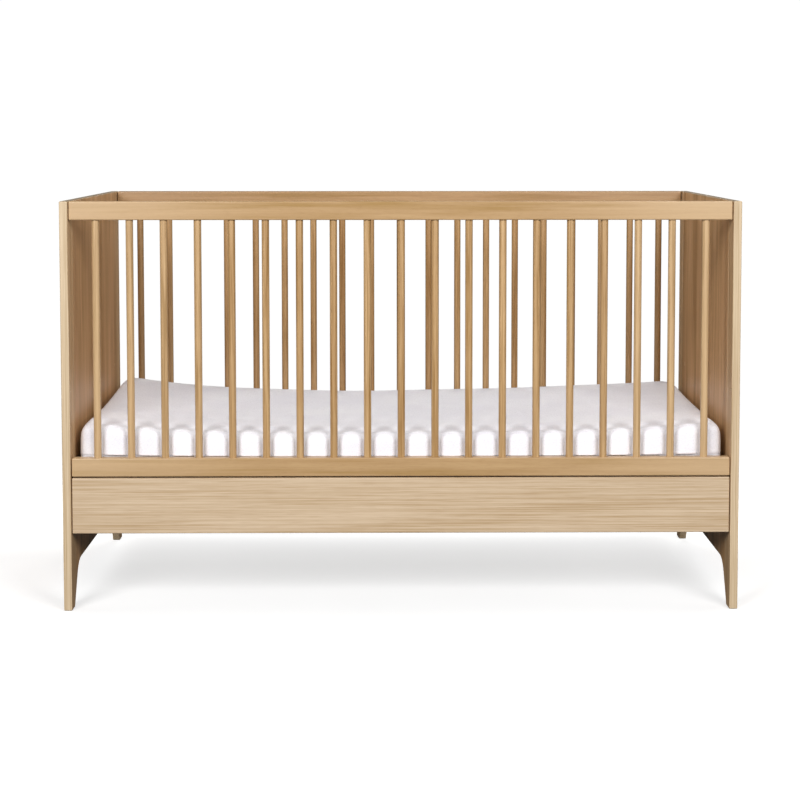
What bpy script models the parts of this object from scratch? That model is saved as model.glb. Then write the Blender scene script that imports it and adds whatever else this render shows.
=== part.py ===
"""Baby crib: two end panels with tapered legs, four rails, thirty-eight spindles, two aprons, a slatted base
on steel angles and a loose mattress.

Metres, +Z up. The origin is on the floor at the middle of the crib, +X runs along its length and its front
faces -Y. The base and the mattress both travel along Z, so their carriers stand on the Z axis.
"""

import math

import bmesh
import bpy
from mathutils import Matrix, Vector

# ---- Overall sizes
LENGTH = 1.450
DEPTH = 0.760
HEIGHT = 0.880

# ---- Fits
FIT_GAP = 0.0003
HOLE_CLEARANCE = 0.0003
CUT_MARGIN = 0.005

# ---- End panels and their legs
PANEL_THICKNESS = 0.018
FOOT_DEPTH = 0.038
LEG_DEPTH = 0.092
ARCH_HEIGHT = 0.091
ARCH_FILLET = 0.060
ARCH_SEGMENTS = 8

# ---- Rails and spindles
RAIL_HEIGHT = 0.040
RAIL_THICKNESS = 0.025
RAIL_SETBACK = 0.004
BOTTOM_RAIL_LEVEL = 0.290
SPINDLE_DIAMETER = 0.016
SPINDLES_PER_SIDE = 19
FIRST_SPINDLE_OFFSET = 0.0563
SPINDLE_SEAT = 0.012

# ---- Aprons
APRON_HEIGHT = 0.120
APRON_THICKNESS = 0.018
APRON_GAP = 0.003

# ---- Dowels glued into the ends of the rails and aprons
DOWEL_DIAMETER = 0.008
DOWEL_REACH = 0.010
DOWEL_ROOT = 0.020
RAIL_DOWEL_DROP = 0.010
APRON_DOWEL_SPACING = 0.064

# ---- Connector bolts between the end panels and the rails
BOLT_DIAMETER = 0.006
BOLT_HEAD_DIAMETER = 0.012
BOLT_HEAD_HEIGHT = 0.003
BOLT_REACH = 0.032
BOLT_RISE = 0.008
SOCKET_ACROSS_FLATS = 0.004
SOCKET_DEPTH = 0.0018

# ---- Guard-rail sockets near the edges of the end panels
GUARD_HOLE_DIAMETER = 0.007
GUARD_HOLE_DEPTH = 0.012
GUARD_HOLE_LEVEL = 0.476
GUARD_HOLE_INSET = 0.012

# ---- Slatted base and its steel angles
BASE_TOP_LEVEL = 0.255
BASE_FRAME_HEIGHT = 0.040
BASE_FRAME_WIDTH = 0.025
BASE_SIDE_GAP = 0.006
BASE_END_GAP = 0.003
BASE_HEIGHT_STEP = 0.130
BASE_HEIGHTS = 3
SLAT_COUNT = 13
SLAT_WIDTH = 0.060
SLAT_THICKNESS = 0.012
ANGLE_LEG = 0.035
ANGLE_WIDTH = 0.040
ANGLE_THICKNESS = 0.002
ANGLE_EDGE_INSET = 0.100
ANGLE_HOLE_DROP = 0.021
ANGLE_HOLE_DIAMETER = 0.0066
INSERT_DIAMETER = 0.008
INSERT_DEPTH = 0.012

# ---- Mattress
MATTRESS_THICKNESS = 0.130
MATTRESS_SIDE_GAP = 0.003
MATTRESS_END_GAP = 0.012
MATTRESS_ROUNDING = 0.030
MATTRESS_ROUNDING_SEGMENTS = 2

# ---- Facets of the round pieces
ROUND_SIDES = 12
HEXAGON_SIDES = 6
WELD_DISTANCE = 0.00001
SHARP_ANGLE = math.radians(40)

# ---- Sizes that follow from the ones above
INNER_HALF_LENGTH = LENGTH / 2 - PANEL_THICKNESS
PANEL_CENTRE_X = LENGTH / 2 - PANEL_THICKNESS / 2
RAIL_HALF_LENGTH = INNER_HALF_LENGTH - FIT_GAP
RAIL_CENTRE_Y = DEPTH / 2 - RAIL_SETBACK - RAIL_THICKNESS / 2
RAIL_INNER_Y = RAIL_CENTRE_Y - RAIL_THICKNESS / 2
TOP_RAIL_CENTRE_Z = HEIGHT - RAIL_HEIGHT / 2
BOTTOM_RAIL_CENTRE_Z = BOTTOM_RAIL_LEVEL + RAIL_HEIGHT / 2
SPINDLE_PITCH = 2 * (INNER_HALF_LENGTH - FIRST_SPINDLE_OFFSET) / (SPINDLES_PER_SIDE - 1)
SPINDLE_BOTTOM = BOTTOM_RAIL_LEVEL + RAIL_HEIGHT - SPINDLE_SEAT
SPINDLE_TOP = HEIGHT - RAIL_HEIGHT + SPINDLE_SEAT
APRON_TOP = BOTTOM_RAIL_LEVEL - APRON_GAP
APRON_CENTRE_Z = APRON_TOP - APRON_HEIGHT / 2
APRON_CENTRE_Y = DEPTH / 2 - RAIL_SETBACK - APRON_THICKNESS / 2
BASE_BOTTOM_LEVEL = BASE_TOP_LEVEL - BASE_FRAME_HEIGHT
BASE_HALF_LENGTH = INNER_HALF_LENGTH - BASE_END_GAP
BASE_HALF_DEPTH = RAIL_INNER_Y - BASE_SIDE_GAP
ANGLE_TOP = BASE_BOTTOM_LEVEL - FIT_GAP
ANGLE_CENTRE_Y = DEPTH / 2 - ANGLE_EDGE_INSET
INSERT_LEVEL = ANGLE_TOP - ANGLE_HOLE_DROP
MATTRESS_BOTTOM = BASE_TOP_LEVEL + FIT_GAP

# ---- Directions along which round pieces and holes are laid
ALONG_Z = Matrix.Identity(4)
ALONG_X = Matrix.Rotation(math.pi / 2, 4, "Y")
ENDS = (("left", -1), ("right", 1))
SIDES = (("front", -1), ("back", 1))

COLLECTION_NAME = "baby_crib"
CUTTER_COLLECTION_NAME = "baby_crib_cutters"


# ---- Scene and materials


def clear_scene():
    for obj in list(bpy.data.objects):
        bpy.data.objects.remove(obj)


def make_collection(name):
    collection = bpy.data.collections.new(name)
    bpy.context.scene.collection.children.link(collection)
    return collection


def make_material(name, color, roughness, metallic=0.0):
    material = bpy.data.materials.new(name)
    material.use_nodes = True
    shader = material.node_tree.nodes["Principled BSDF"]
    shader.inputs["Base Color"].default_value = (*color, 1.0)
    shader.inputs["Roughness"].default_value = roughness
    shader.inputs["Metallic"].default_value = metallic
    material.diffuse_color = (*color, 1.0)
    return material


def make_materials():
    return {
        "panel": make_material("oak_veneer", (0.60, 0.44, 0.28), 0.50),
        "rail": make_material("beech_rail", (0.55, 0.38, 0.21), 0.45),
        "spindle": make_material("beech_spindle", (0.57, 0.40, 0.23), 0.45),
        "apron": make_material("oak_apron", (0.62, 0.46, 0.29), 0.50),
        "base": make_material("pine_base", (0.66, 0.50, 0.32), 0.60),
        "steel": make_material("zinc_steel", (0.55, 0.56, 0.58), 0.35, 1.0),
        "mattress": make_material("white_cotton", (0.85, 0.85, 0.86), 0.90),
    }


# ---- Meshes and objects


def mesh_from(builder, name):
    """A mesh that keeps what builder adds to an empty bmesh, with its doubles merged."""
    bm = bmesh.new()
    builder(bm)
    bmesh.ops.remove_doubles(bm, verts=bm.verts, dist=WELD_DISTANCE)
    mesh = bpy.data.meshes.new(name)
    bm.to_mesh(mesh)
    bm.free()
    return mesh


def add_box(bm, size, centre=(0, 0, 0)):
    place = Matrix.Translation(centre) @ Matrix.Diagonal((*size, 1))
    bmesh.ops.create_cube(bm, size=1, matrix=place)


def add_cylinder(bm, diameter, length, centre, direction=ALONG_Z, sides=ROUND_SIDES):
    bmesh.ops.create_cone(
        bm,
        cap_ends=True,
        segments=sides,
        radius1=diameter / 2,
        radius2=diameter / 2,
        depth=length,
        matrix=Matrix.Translation(centre) @ direction,
    )


def place_object(name, mesh, collection, parent=None, at=(0, 0, 0), turn=(0, 0, 0)):
    """An object of the mesh, at a place given in the world, under a parent that isn't turned."""
    obj = bpy.data.objects.new(name, mesh)
    collection.objects.link(obj)
    offset = Vector(parent.location) if parent else Vector((0, 0, 0))
    obj.parent = parent
    obj.location = Vector(at) - offset
    obj.rotation_euler = turn
    return obj


def paint(obj, material):
    if not obj.data.materials:
        obj.data.materials.append(material)
    return obj


def shade_round(mesh):
    mesh.shade_smooth()
    mesh.set_sharp_from_angle(angle=SHARP_ANGLE)


def make_helper(name, builder, cutters):
    """A hidden solid that cuts or joins another piece. It is built in that piece's own axes."""
    helper = place_object(name, mesh_from(builder, name), cutters)
    helper.hide_render = True
    helper.display_type = "WIRE"
    return helper


def combine(obj, helper, operation):
    """Adds or takes away the helper's solid, which moves to where the piece is."""
    helper.parent = obj
    modifier = obj.modifiers.new(helper.name, "BOOLEAN")
    modifier.operation = operation
    modifier.solver = "EXACT"
    modifier.object = helper


def solid_mesh(obj):
    """The evaluated mesh of an object, with its loose caps welded. The object is removed."""
    bpy.context.view_layer.update()
    evaluated = obj.evaluated_get(bpy.context.evaluated_depsgraph_get())
    mesh = bpy.data.meshes.new_from_object(evaluated)
    bm = bmesh.new()
    bm.from_mesh(mesh)
    bmesh.ops.remove_doubles(bm, verts=bm.verts, dist=WELD_DISTANCE)
    bm.to_mesh(mesh)
    bm.free()
    mesh.name = obj.name
    bpy.data.objects.remove(obj)
    return mesh


def plate_mesh(name, outline, thickness, collection):
    """A flat plate with the given outline in its own XY plane, as thick as asked along its Z."""
    curve = bpy.data.curves.new(name, "CURVE")
    curve.dimensions = "2D"
    curve.fill_mode = "BOTH"
    curve.extrude = thickness / 2
    spline = curve.splines.new("POLY")
    spline.points.add(len(outline) - 1)
    for point, (x, y) in zip(spline.points, outline):
        point.co = (x, y, 0, 1)
    spline.use_cyclic_u = True
    obj = bpy.data.objects.new(name, curve)
    collection.objects.link(obj)
    return solid_mesh(obj)


# ---- End panels


def arch_fillet():
    """Points of the arc that joins a leg's tapered edge to the level edge of the arch, leg first.

    They are (depth from the panel's edge, height), for the leg at the low end of the panel.
    """
    corner = Vector((LEG_DEPTH, ARCH_HEIGHT))
    down_leg = (Vector((FOOT_DEPTH, 0)) - corner).normalized()
    along_arch = Vector((1, 0))
    half_angle = down_leg.angle(along_arch) / 2
    to_centre = (down_leg + along_arch).normalized() * ARCH_FILLET / math.sin(half_angle)
    centre = corner + to_centre
    start = (corner + down_leg * ARCH_FILLET / math.tan(half_angle)) - centre
    end = (corner + along_arch * ARCH_FILLET / math.tan(half_angle)) - centre
    sweep = start.angle(end)
    first = math.atan2(start.y, start.x)
    angles = [first - sweep * step / ARCH_SEGMENTS for step in range(ARCH_SEGMENTS + 1)]
    return [(centre.x + ARCH_FILLET * math.cos(a), centre.y + ARCH_FILLET * math.sin(a)) for a in angles]


def panel_outline():
    """The panel seen from the side: (depth from its middle, height), once round."""
    half = DEPTH / 2
    front_leg = [(-half + depth, height) for depth, height in [(FOOT_DEPTH, 0), *arch_fillet()]]
    back_leg = [(-depth, height) for depth, height in reversed(front_leg)]
    return [(-half, 0), *front_leg, *back_leg, (half, 0), (half, HEIGHT), (-half, HEIGHT)]


def rail_levels():
    return (BOTTOM_RAIL_CENTRE_Z, TOP_RAIL_CENTRE_Z)


def apron_dowel_levels():
    return (APRON_CENTRE_Z - APRON_DOWEL_SPACING / 2, APRON_CENTRE_Z + APRON_DOWEL_SPACING / 2)


def blind_holes():
    """The panel's blind holes, as (diameter, depth, y, z), all bored from its inner face."""
    dowel_hole = DOWEL_DIAMETER + 2 * HOLE_CLEARANCE
    dowel_depth = DOWEL_REACH + HOLE_CLEARANCE
    holes = []
    for _, side in SIDES:
        for level in rail_levels():
            holes.append((dowel_hole, dowel_depth, side * RAIL_CENTRE_Y, level - RAIL_DOWEL_DROP))
        for level in apron_dowel_levels():
            holes.append((dowel_hole, dowel_depth, side * APRON_CENTRE_Y, level))
        for step in range(BASE_HEIGHTS):
            level = INSERT_LEVEL + step * BASE_HEIGHT_STEP
            holes.append((INSERT_DIAMETER, INSERT_DEPTH, side * ANGLE_CENTRE_Y, level))
        guard_y = side * (DEPTH / 2 - GUARD_HOLE_INSET)
        holes.append((GUARD_HOLE_DIAMETER, GUARD_HOLE_DEPTH, guard_y, GUARD_HOLE_LEVEL))
    return holes


def add_inner_holes(bm, end):
    """Blind holes of every size, and the through bores for the connector bolts."""
    for diameter, depth, y, z in blind_holes():
        length = depth + CUT_MARGIN
        x = end * (depth - length / 2 - PANEL_THICKNESS / 2)
        add_cylinder(bm, diameter, length, (x, y, z), ALONG_X)
    through = PANEL_THICKNESS + 2 * CUT_MARGIN
    for _, side in SIDES:
        for level in rail_levels():
            centre = (0, side * RAIL_CENTRE_Y, level + BOLT_RISE)
            add_cylinder(bm, BOLT_DIAMETER + 2 * HOLE_CLEARANCE, through, centre, ALONG_X)


def add_head_pockets(bm, end):
    """Flat-bottomed pockets in the outer face, for the heads of the connector bolts."""
    depth = BOLT_HEAD_HEIGHT + FIT_GAP
    length = depth + CUT_MARGIN
    x = end * (PANEL_THICKNESS / 2 - depth + length / 2)
    for _, side in SIDES:
        for level in rail_levels():
            centre = (x, side * RAIL_CENTRE_Y, level + BOLT_RISE)
            add_cylinder(bm, BOLT_HEAD_DIAMETER + 2 * HOLE_CLEARANCE, length, centre, ALONG_X)


def build_end_panel(name, end, parts, cutters, root, material):
    mesh = plate_mesh(f"{name}_end_panel", panel_outline(), PANEL_THICKNESS, parts)
    standing = Matrix(((0, 0, 1, 0), (1, 0, 0, 0), (0, 1, 0, 0), (0, 0, 0, 1)))
    mesh.transform(standing)
    panel = place_object(mesh.name, mesh, parts, root, at=(end * PANEL_CENTRE_X, 0, 0))
    for suffix, builder in (("bores", add_inner_holes), ("pockets", add_head_pockets)):
        helper = make_helper(f"{name}_panel_{suffix}", lambda bm, b=builder: b(bm, end), cutters)
        combine(panel, helper, "DIFFERENCE")
    return paint(panel, material)


# ---- Rails, spindles and aprons


def spindle_places():
    first = -(SPINDLES_PER_SIDE - 1) / 2 * SPINDLE_PITCH
    return [first + index * SPINDLE_PITCH for index in range(SPINDLES_PER_SIDE)]


def add_end_dowels(bm, half_length, drops):
    """Dowels that stand out of both ends of a rail or an apron, at these depths below its middle."""
    length = DOWEL_ROOT + DOWEL_REACH
    for _, end in ENDS:
        x = end * (half_length + DOWEL_REACH - length / 2)
        for drop in drops:
            add_cylinder(bm, DOWEL_DIAMETER, length, (x, 0, -drop), ALONG_X)


def add_rail_holes(bm, facing):
    """Blind spindle holes in the face that looks up (+1) or down (-1), and a bolt hole in each end."""
    seat = SPINDLE_SEAT + HOLE_CLEARANCE
    length = seat + CUT_MARGIN
    z = facing * (RAIL_HEIGHT / 2 - seat + length / 2)
    for x in spindle_places():
        add_cylinder(bm, SPINDLE_DIAMETER + 2 * HOLE_CLEARANCE, length, (x, 0, z))
    reach = BOLT_REACH + HOLE_CLEARANCE + CUT_MARGIN
    for _, end in ENDS:
        x = end * (RAIL_HALF_LENGTH + CUT_MARGIN - reach / 2)
        add_cylinder(bm, BOLT_DIAMETER + 2 * HOLE_CLEARANCE, reach, (x, 0, BOLT_RISE), ALONG_X)


def build_rail(name, side, level, facing, parts, cutters, root, material):
    size = (2 * RAIL_HALF_LENGTH, RAIL_THICKNESS, RAIL_HEIGHT)
    mesh = mesh_from(lambda bm: add_box(bm, size), name)
    rail = place_object(name, mesh, parts, root, at=(0, side * RAIL_CENTRE_Y, level))
    dowels = make_helper(
        f"{name}_dowels", lambda bm: add_end_dowels(bm, RAIL_HALF_LENGTH, [RAIL_DOWEL_DROP]), cutters
    )
    combine(rail, dowels, "UNION")
    holes = make_helper(f"{name}_holes", lambda bm: add_rail_holes(bm, facing), cutters)
    combine(rail, holes, "DIFFERENCE")
    return paint(rail, material)


def build_spindles(name, side, parts, root, material):
    length = SPINDLE_TOP - SPINDLE_BOTTOM
    mesh = mesh_from(lambda bm: add_cylinder(bm, SPINDLE_DIAMETER, length, (0, 0, 0)), f"{name}_spindle")
    shade_round(mesh)
    middle = (SPINDLE_TOP + SPINDLE_BOTTOM) / 2
    for number, x in enumerate(spindle_places(), 1):
        at = (x, side * RAIL_CENTRE_Y, middle)
        paint(place_object(f"{name}_spindle_{number:02d}", mesh, parts, root, at=at), material)


def build_apron(name, side, parts, cutters, root, material):
    size = (2 * RAIL_HALF_LENGTH, APRON_THICKNESS, APRON_HEIGHT)
    mesh = mesh_from(lambda bm: add_box(bm, size), name)
    apron = place_object(name, mesh, parts, root, at=(0, side * APRON_CENTRE_Y, APRON_CENTRE_Z))
    drops = [APRON_CENTRE_Z - level for level in apron_dowel_levels()]
    dowels = make_helper(f"{name}_dowels", lambda bm: add_end_dowels(bm, RAIL_HALF_LENGTH, drops), cutters)
    combine(apron, dowels, "UNION")
    return paint(apron, material)


# ---- Connector bolts


def bolt_mesh(parts, cutters):
    """A turned bolt with a flat head and a hexagonal socket. Its head's face is at z = 0, its tip below."""
    head = BOLT_HEAD_DIAMETER / 2
    shank = BOLT_DIAMETER / 2
    tip = -(PANEL_THICKNESS + FIT_GAP + BOLT_REACH)
    neck = -BOLT_HEAD_HEIGHT
    profile = [(0, 0), (head, 0), (head, neck), (shank, neck), (shank, tip), (0, tip)]
    mesh = bpy.data.meshes.new("connector_bolt")
    points = [(x, 0, z) for x, z in profile]
    mesh.from_pydata(points, [(i, i + 1) for i in range(len(points) - 1)], [])
    bolt = place_object("connector_bolt", mesh, parts)
    turn = bolt.modifiers.new("turned", "SCREW")
    turn.steps = ROUND_SIDES
    turn.render_steps = ROUND_SIDES
    turn.use_merge_vertices = True
    turn.merge_threshold = WELD_DISTANCE
    socket = make_helper("hex_socket", add_hex_socket, cutters)
    combine(bolt, socket, "DIFFERENCE")
    socket.parent = None
    solid = solid_mesh(bolt)
    shade_round(solid)
    return solid


def add_hex_socket(bm):
    across_corners = SOCKET_ACROSS_FLATS / math.cos(math.pi / HEXAGON_SIDES)
    length = SOCKET_DEPTH + CUT_MARGIN
    centre = (0, 0, length / 2 - SOCKET_DEPTH)
    add_cylinder(bm, across_corners, length, centre, sides=HEXAGON_SIDES)


def build_bolts(parts, cutters, root, material):
    mesh = bolt_mesh(parts, cutters)
    for end_name, end in ENDS:
        for side_name, side in SIDES:
            for level_name, level in zip(("bottom", "top"), rail_levels()):
                name = f"{level_name}_rail_bolt_{side_name}_{end_name}"
                at = (end * LENGTH / 2, side * RAIL_CENTRE_Y, level + BOLT_RISE)
                turn = (0, end * math.pi / 2, 0)
                paint(place_object(name, mesh, parts, root, at=at, turn=turn), material)


# ---- Slatted base, its angles and the mattress


def add_base_recess(bm):
    """The space inside the base's frame, below the slats."""
    depth = BASE_FRAME_HEIGHT - SLAT_THICKNESS + CUT_MARGIN
    length = 2 * (BASE_HALF_LENGTH - BASE_FRAME_WIDTH)
    width = 2 * (BASE_HALF_DEPTH - BASE_FRAME_WIDTH)
    add_box(bm, (length, width, depth), (0, 0, -SLAT_THICKNESS - depth / 2))


def add_slat_gaps(bm):
    """The gaps between neighbouring slats, and between the last slats and the frame."""
    inside = 2 * (BASE_HALF_LENGTH - BASE_FRAME_WIDTH)
    width = 2 * (BASE_HALF_DEPTH - BASE_FRAME_WIDTH)
    gap = (inside - SLAT_COUNT * SLAT_WIDTH) / (SLAT_COUNT + 1)
    depth = SLAT_THICKNESS + 2 * CUT_MARGIN
    for index in range(SLAT_COUNT + 1):
        x = -inside / 2 + gap / 2 + index * (gap + SLAT_WIDTH)
        add_box(bm, (gap, width, depth), (x, 0, -SLAT_THICKNESS / 2))


def build_base(parts, cutters, carrier, material):
    """The frame and its slats, glued up. The object's origin is at the middle of its top face."""
    size = (2 * BASE_HALF_LENGTH, 2 * BASE_HALF_DEPTH, BASE_FRAME_HEIGHT)
    mesh = mesh_from(lambda bm: add_box(bm, size, (0, 0, -BASE_FRAME_HEIGHT / 2)), "slatted_base")
    base = place_object("slatted_base", mesh, parts, carrier, at=(0, 0, BASE_TOP_LEVEL))
    combine(base, make_helper("base_recess", add_base_recess, cutters), "DIFFERENCE")
    combine(base, make_helper("slat_gaps", add_slat_gaps, cutters), "DIFFERENCE")
    return paint(base, material)


def angle_outline():
    """The bracket seen from the side: (away from the panel, up), from its outer top corner."""
    leg = ANGLE_LEG
    wall = ANGLE_THICKNESS
    return [(0, 0), (0, -leg), (wall, -leg), (wall, -wall), (leg, -wall), (leg, 0)]


def add_angle_holes(bm):
    """One hole for the bolt into the panel, and one for the screw up into the base."""
    length = ANGLE_THICKNESS + 2 * CUT_MARGIN
    wall_middle = ANGLE_THICKNESS / 2
    add_cylinder(bm, ANGLE_HOLE_DIAMETER, length, (wall_middle, 0, -ANGLE_HOLE_DROP), ALONG_X)
    add_cylinder(bm, ANGLE_HOLE_DIAMETER, length, (ANGLE_HOLE_DROP, 0, -wall_middle))


def build_angles(parts, cutters, carrier, material):
    mesh = plate_mesh("base_angle", angle_outline(), ANGLE_WIDTH, parts)
    upright = Matrix(((1, 0, 0, 0), (0, 0, -1, 0), (0, 1, 0, 0), (0, 0, 0, 1)))
    mesh.transform(upright)
    blank = place_object("base_angle", mesh, parts)
    holes = make_helper("angle_holes", add_angle_holes, cutters)
    combine(blank, holes, "DIFFERENCE")
    holes.parent = None
    solid = solid_mesh(blank)
    for end_name, end in ENDS:
        for side_name, side in SIDES:
            at = (end * (INNER_HALF_LENGTH - FIT_GAP), side * ANGLE_CENTRE_Y, ANGLE_TOP)
            turn = (0, 0, math.pi if end > 0 else 0)
            name = f"base_angle_{side_name}_{end_name}"
            paint(place_object(name, solid, parts, carrier, at=at, turn=turn), material)


def build_mattress(parts, carrier, material):
    half_length = INNER_HALF_LENGTH - MATTRESS_END_GAP
    half_depth = RAIL_INNER_Y - MATTRESS_SIDE_GAP
    size = (2 * half_length, 2 * half_depth, MATTRESS_THICKNESS)
    mesh = mesh_from(lambda bm: add_box(bm, size, (0, 0, MATTRESS_THICKNESS / 2)), "mattress")
    mattress = place_object("mattress", mesh, parts, carrier, at=(0, 0, MATTRESS_BOTTOM))
    rounding = mattress.modifiers.new("rounding", "BEVEL")
    rounding.width = MATTRESS_ROUNDING
    rounding.segments = MATTRESS_ROUNDING_SEGMENTS
    return paint(mattress, material)


# ---- The crib


def make_carrier(name, level, parts):
    """An empty on the Z axis that a group of pieces moves with."""
    return place_object(name, None, parts, at=(0, 0, level))


def build_frame(parts, cutters, materials):
    root = make_carrier("frame_carrier", 0, parts)
    for name, end in ENDS:
        build_end_panel(name, end, parts, cutters, root, materials["panel"])
    for name, side in SIDES:
        common = (parts, cutters, root, materials["rail"])
        build_rail(f"{name}_bottom_rail", side, BOTTOM_RAIL_CENTRE_Z, 1, *common)
        build_rail(f"{name}_top_rail", side, TOP_RAIL_CENTRE_Z, -1, *common)
        build_spindles(name, side, parts, root, materials["spindle"])
        build_apron(f"{name}_apron", side, parts, cutters, root, materials["apron"])
    build_bolts(parts, cutters, root, materials["steel"])


def build_bed(parts, cutters, materials):
    base_carrier = make_carrier("base_carrier", BASE_TOP_LEVEL, parts)
    build_base(parts, cutters, base_carrier, materials["base"])
    build_angles(parts, cutters, base_carrier, materials["steel"])
    mattress_carrier = make_carrier("mattress_carrier", MATTRESS_BOTTOM, parts)
    build_mattress(parts, mattress_carrier, materials["mattress"])


def main():
    clear_scene()
    parts = make_collection(COLLECTION_NAME)
    cutters = make_collection(CUTTER_COLLECTION_NAME)
    materials = make_materials()
    build_frame(parts, cutters, materials)
    build_bed(parts, cutters, materials)
    bpy.context.view_layer.update()


main()
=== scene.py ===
"""Looks of the baby crib: veneered end panels, beech rails and spindles, aprons, a slatted base on steel
angles, and a foam mattress in a stretched fitted sheet.

Metres, +Z up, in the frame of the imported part: the origin is on the floor at the middle of the crib, +X runs
along its length and its front faces -Y. Every piece is built where it stands, with its object at the origin.
"""

from __future__ import annotations

import logging
import math
from dataclasses import dataclass, replace
from enum import Enum
from typing import Any, Callable, Iterable, Sequence

import bmesh
import bpy
import numpy as np
from mathutils import Euler, Matrix, Vector


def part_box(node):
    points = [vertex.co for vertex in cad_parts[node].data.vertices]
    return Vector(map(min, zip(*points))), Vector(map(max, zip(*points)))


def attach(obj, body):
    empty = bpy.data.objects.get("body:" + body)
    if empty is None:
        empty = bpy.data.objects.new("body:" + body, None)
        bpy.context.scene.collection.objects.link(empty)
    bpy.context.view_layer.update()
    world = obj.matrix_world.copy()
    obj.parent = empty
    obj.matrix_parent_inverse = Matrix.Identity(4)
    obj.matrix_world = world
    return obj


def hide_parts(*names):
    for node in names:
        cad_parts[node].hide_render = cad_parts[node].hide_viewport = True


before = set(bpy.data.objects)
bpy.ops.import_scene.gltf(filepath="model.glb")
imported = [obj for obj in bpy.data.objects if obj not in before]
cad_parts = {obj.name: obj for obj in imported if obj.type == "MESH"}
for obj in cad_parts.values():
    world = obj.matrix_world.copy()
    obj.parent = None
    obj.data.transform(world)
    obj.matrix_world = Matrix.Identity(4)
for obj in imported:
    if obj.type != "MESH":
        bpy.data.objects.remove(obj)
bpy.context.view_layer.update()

LOG = logging.getLogger("baby_crib")

# ---- Sizes shared by several assemblies
FIT_GAP = 0.0003
SIDE_SETBACK = 0.004
SPINDLE_DIAMETER = 0.016
FIRST_SPINDLE_OFFSET = 0.0563
SPINDLES_PER_SIDE = 19
BOLT_RISE = 0.008
WELD = 0.00001
SHARP_ANGLE = math.radians(50)
TURNED_SHARP_ANGLE = math.radians(35)
BEVEL_FROM_ANGLE = math.radians(30)
ROUND_SIDES = 32
SMALL_ROUND_SIDES = 12
SEED = 7
LEVELS = ("bottom", "top")
# How far from the middle the rails and spindles start and stop taking their painted end colour, and how much of it
# they take: a painted highlight on the front's rails and the spindles, painted shade on the back's rails.
PAINTED_END_REACH = (0.22, 0.72)
PAINTED_END_SHARE = 0.36
# What a copy's tone is raised to for its red, green and blue.
TONE_POWERS = (0.85, 1.15, 1.6)
# How far a cutter reaches past the face that it cuts.
OVERRUN = 0.005

Point = Sequence[float]
Place = tuple[Point, Point]
Rod = tuple[Point, Point, float, int]
Mesh = bmesh.types.BMesh
Object = bpy.types.Object
Material = bpy.types.Material
Socket = bpy.types.NodeSocket
Tree = bpy.types.NodeTree


class End(Enum):
    """The crib's two ends, with their sign along X."""

    LEFT = -1
    RIGHT = 1

    @property
    def word(self) -> str:
        """The end's name in node names."""
        return self.name.lower()


class Side(Enum):
    """The crib's two long sides, with their sign along Y."""

    FRONT = -1
    BACK = 1

    @property
    def word(self) -> str:
        """The side's name in node names."""
        return self.name.lower()


class Grain(Enum):
    """The axis that a board's grain runs along."""

    LEVEL = 0
    ACROSS = 1
    UPRIGHT = 2


def bolt_node(level: str, side: Side, end: End) -> str:
    """The CAD node of the bolt through an end panel into a rail."""
    return f"{level}_rail_bolt_{side.word}_{end.word}"


def middle_of(node: str) -> Vector:
    """The middle of a CAD node's box."""
    low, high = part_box(node)
    return (low + high) / 2


# ---- Colour and shader nodes


def linear(hex_colour: str) -> tuple[float, float, float, float]:
    """Turns an sRGB hex colour into linear RGBA.

    Args:
        hex_colour: Six hex digits.

    Returns:
        The linear red, green, blue and an alpha of 1.
    """
    channels = [int(hex_colour[i : i + 2], 16) / 255 for i in (0, 2, 4)]
    red, green, blue = (c / 12.92 if c <= 0.04045 else ((c + 0.055) / 1.055) ** 2.4 for c in channels)
    return (red, green, blue, 1.0)


def add_node(tree: Tree, kind: str, links: dict[Any, Any] | None = None, **settings: Any) -> bpy.types.Node:
    """Adds a node, sets its properties and fills its inputs.

    Args:
        tree: The node tree that gets the node.
        kind: The node's type name.
        links: For an input's name or number, the output socket or the constant that feeds it.
        **settings: Properties of the node itself. The stops of a colour ramp are positions and sRGB hex
            colours, in order.

    Returns:
        The new node.
    """
    node = tree.nodes.new(kind)
    stops = settings.pop("stops", ())
    for name, value in settings.items():
        setattr(node, name, value)
    for index, (position, colour) in enumerate(stops):
        elements = node.color_ramp.elements
        element = elements[index] if index < len(elements) else elements.new(0.5)
        element.position, element.color = position, linear(colour)
    for key, value in (links or {}).items():
        socket = node.inputs[key]
        if isinstance(value, Socket):
            tree.links.new(value, socket)
        else:
            socket.default_value = value
    return node


def blank_material(name: str, **constants: Any) -> tuple[Material, Tree, Any]:
    """Makes a material that holds one Principled shader.

    Args:
        name: The material's name.
        **constants: Values for the shader's inputs, with underscores for spaces.

    Returns:
        The material, its node tree and its shader node.
    """
    material = bpy.data.materials.new(name)
    material.use_nodes = True
    tree = material.node_tree
    shader = tree.nodes["Principled BSDF"]
    for key, value in constants.items():
        shader.inputs[key.replace("_", " ")].default_value = value
    return material, tree, shader


def stretched_noise(tree: Tree, vector: Socket, cell: Point, detail: float = 3.0, distortion: float = 0.0) -> Socket:
    """Noise whose cells have the given real size along each axis.

    Args:
        tree: The material's tree.
        vector: The coordinates, in metres.
        cell: The cell's size along X, Y and Z, in metres.
        detail: Octaves of finer noise.
        distortion: How far the noise is pulled about.

    Returns:
        The noise factor's socket.
    """
    scale = {"Vector": vector, "Scale": tuple(1 / size for size in cell)}
    scaled = add_node(tree, "ShaderNodeMapping", scale, vector_type="POINT").outputs[0]
    look = {"Vector": scaled, "Scale": 1.0, "Detail": detail, "Roughness": 0.55, "Distortion": distortion}
    return add_node(tree, "ShaderNodeTexNoise", look).outputs[0]


# ---- Finishes


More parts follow.
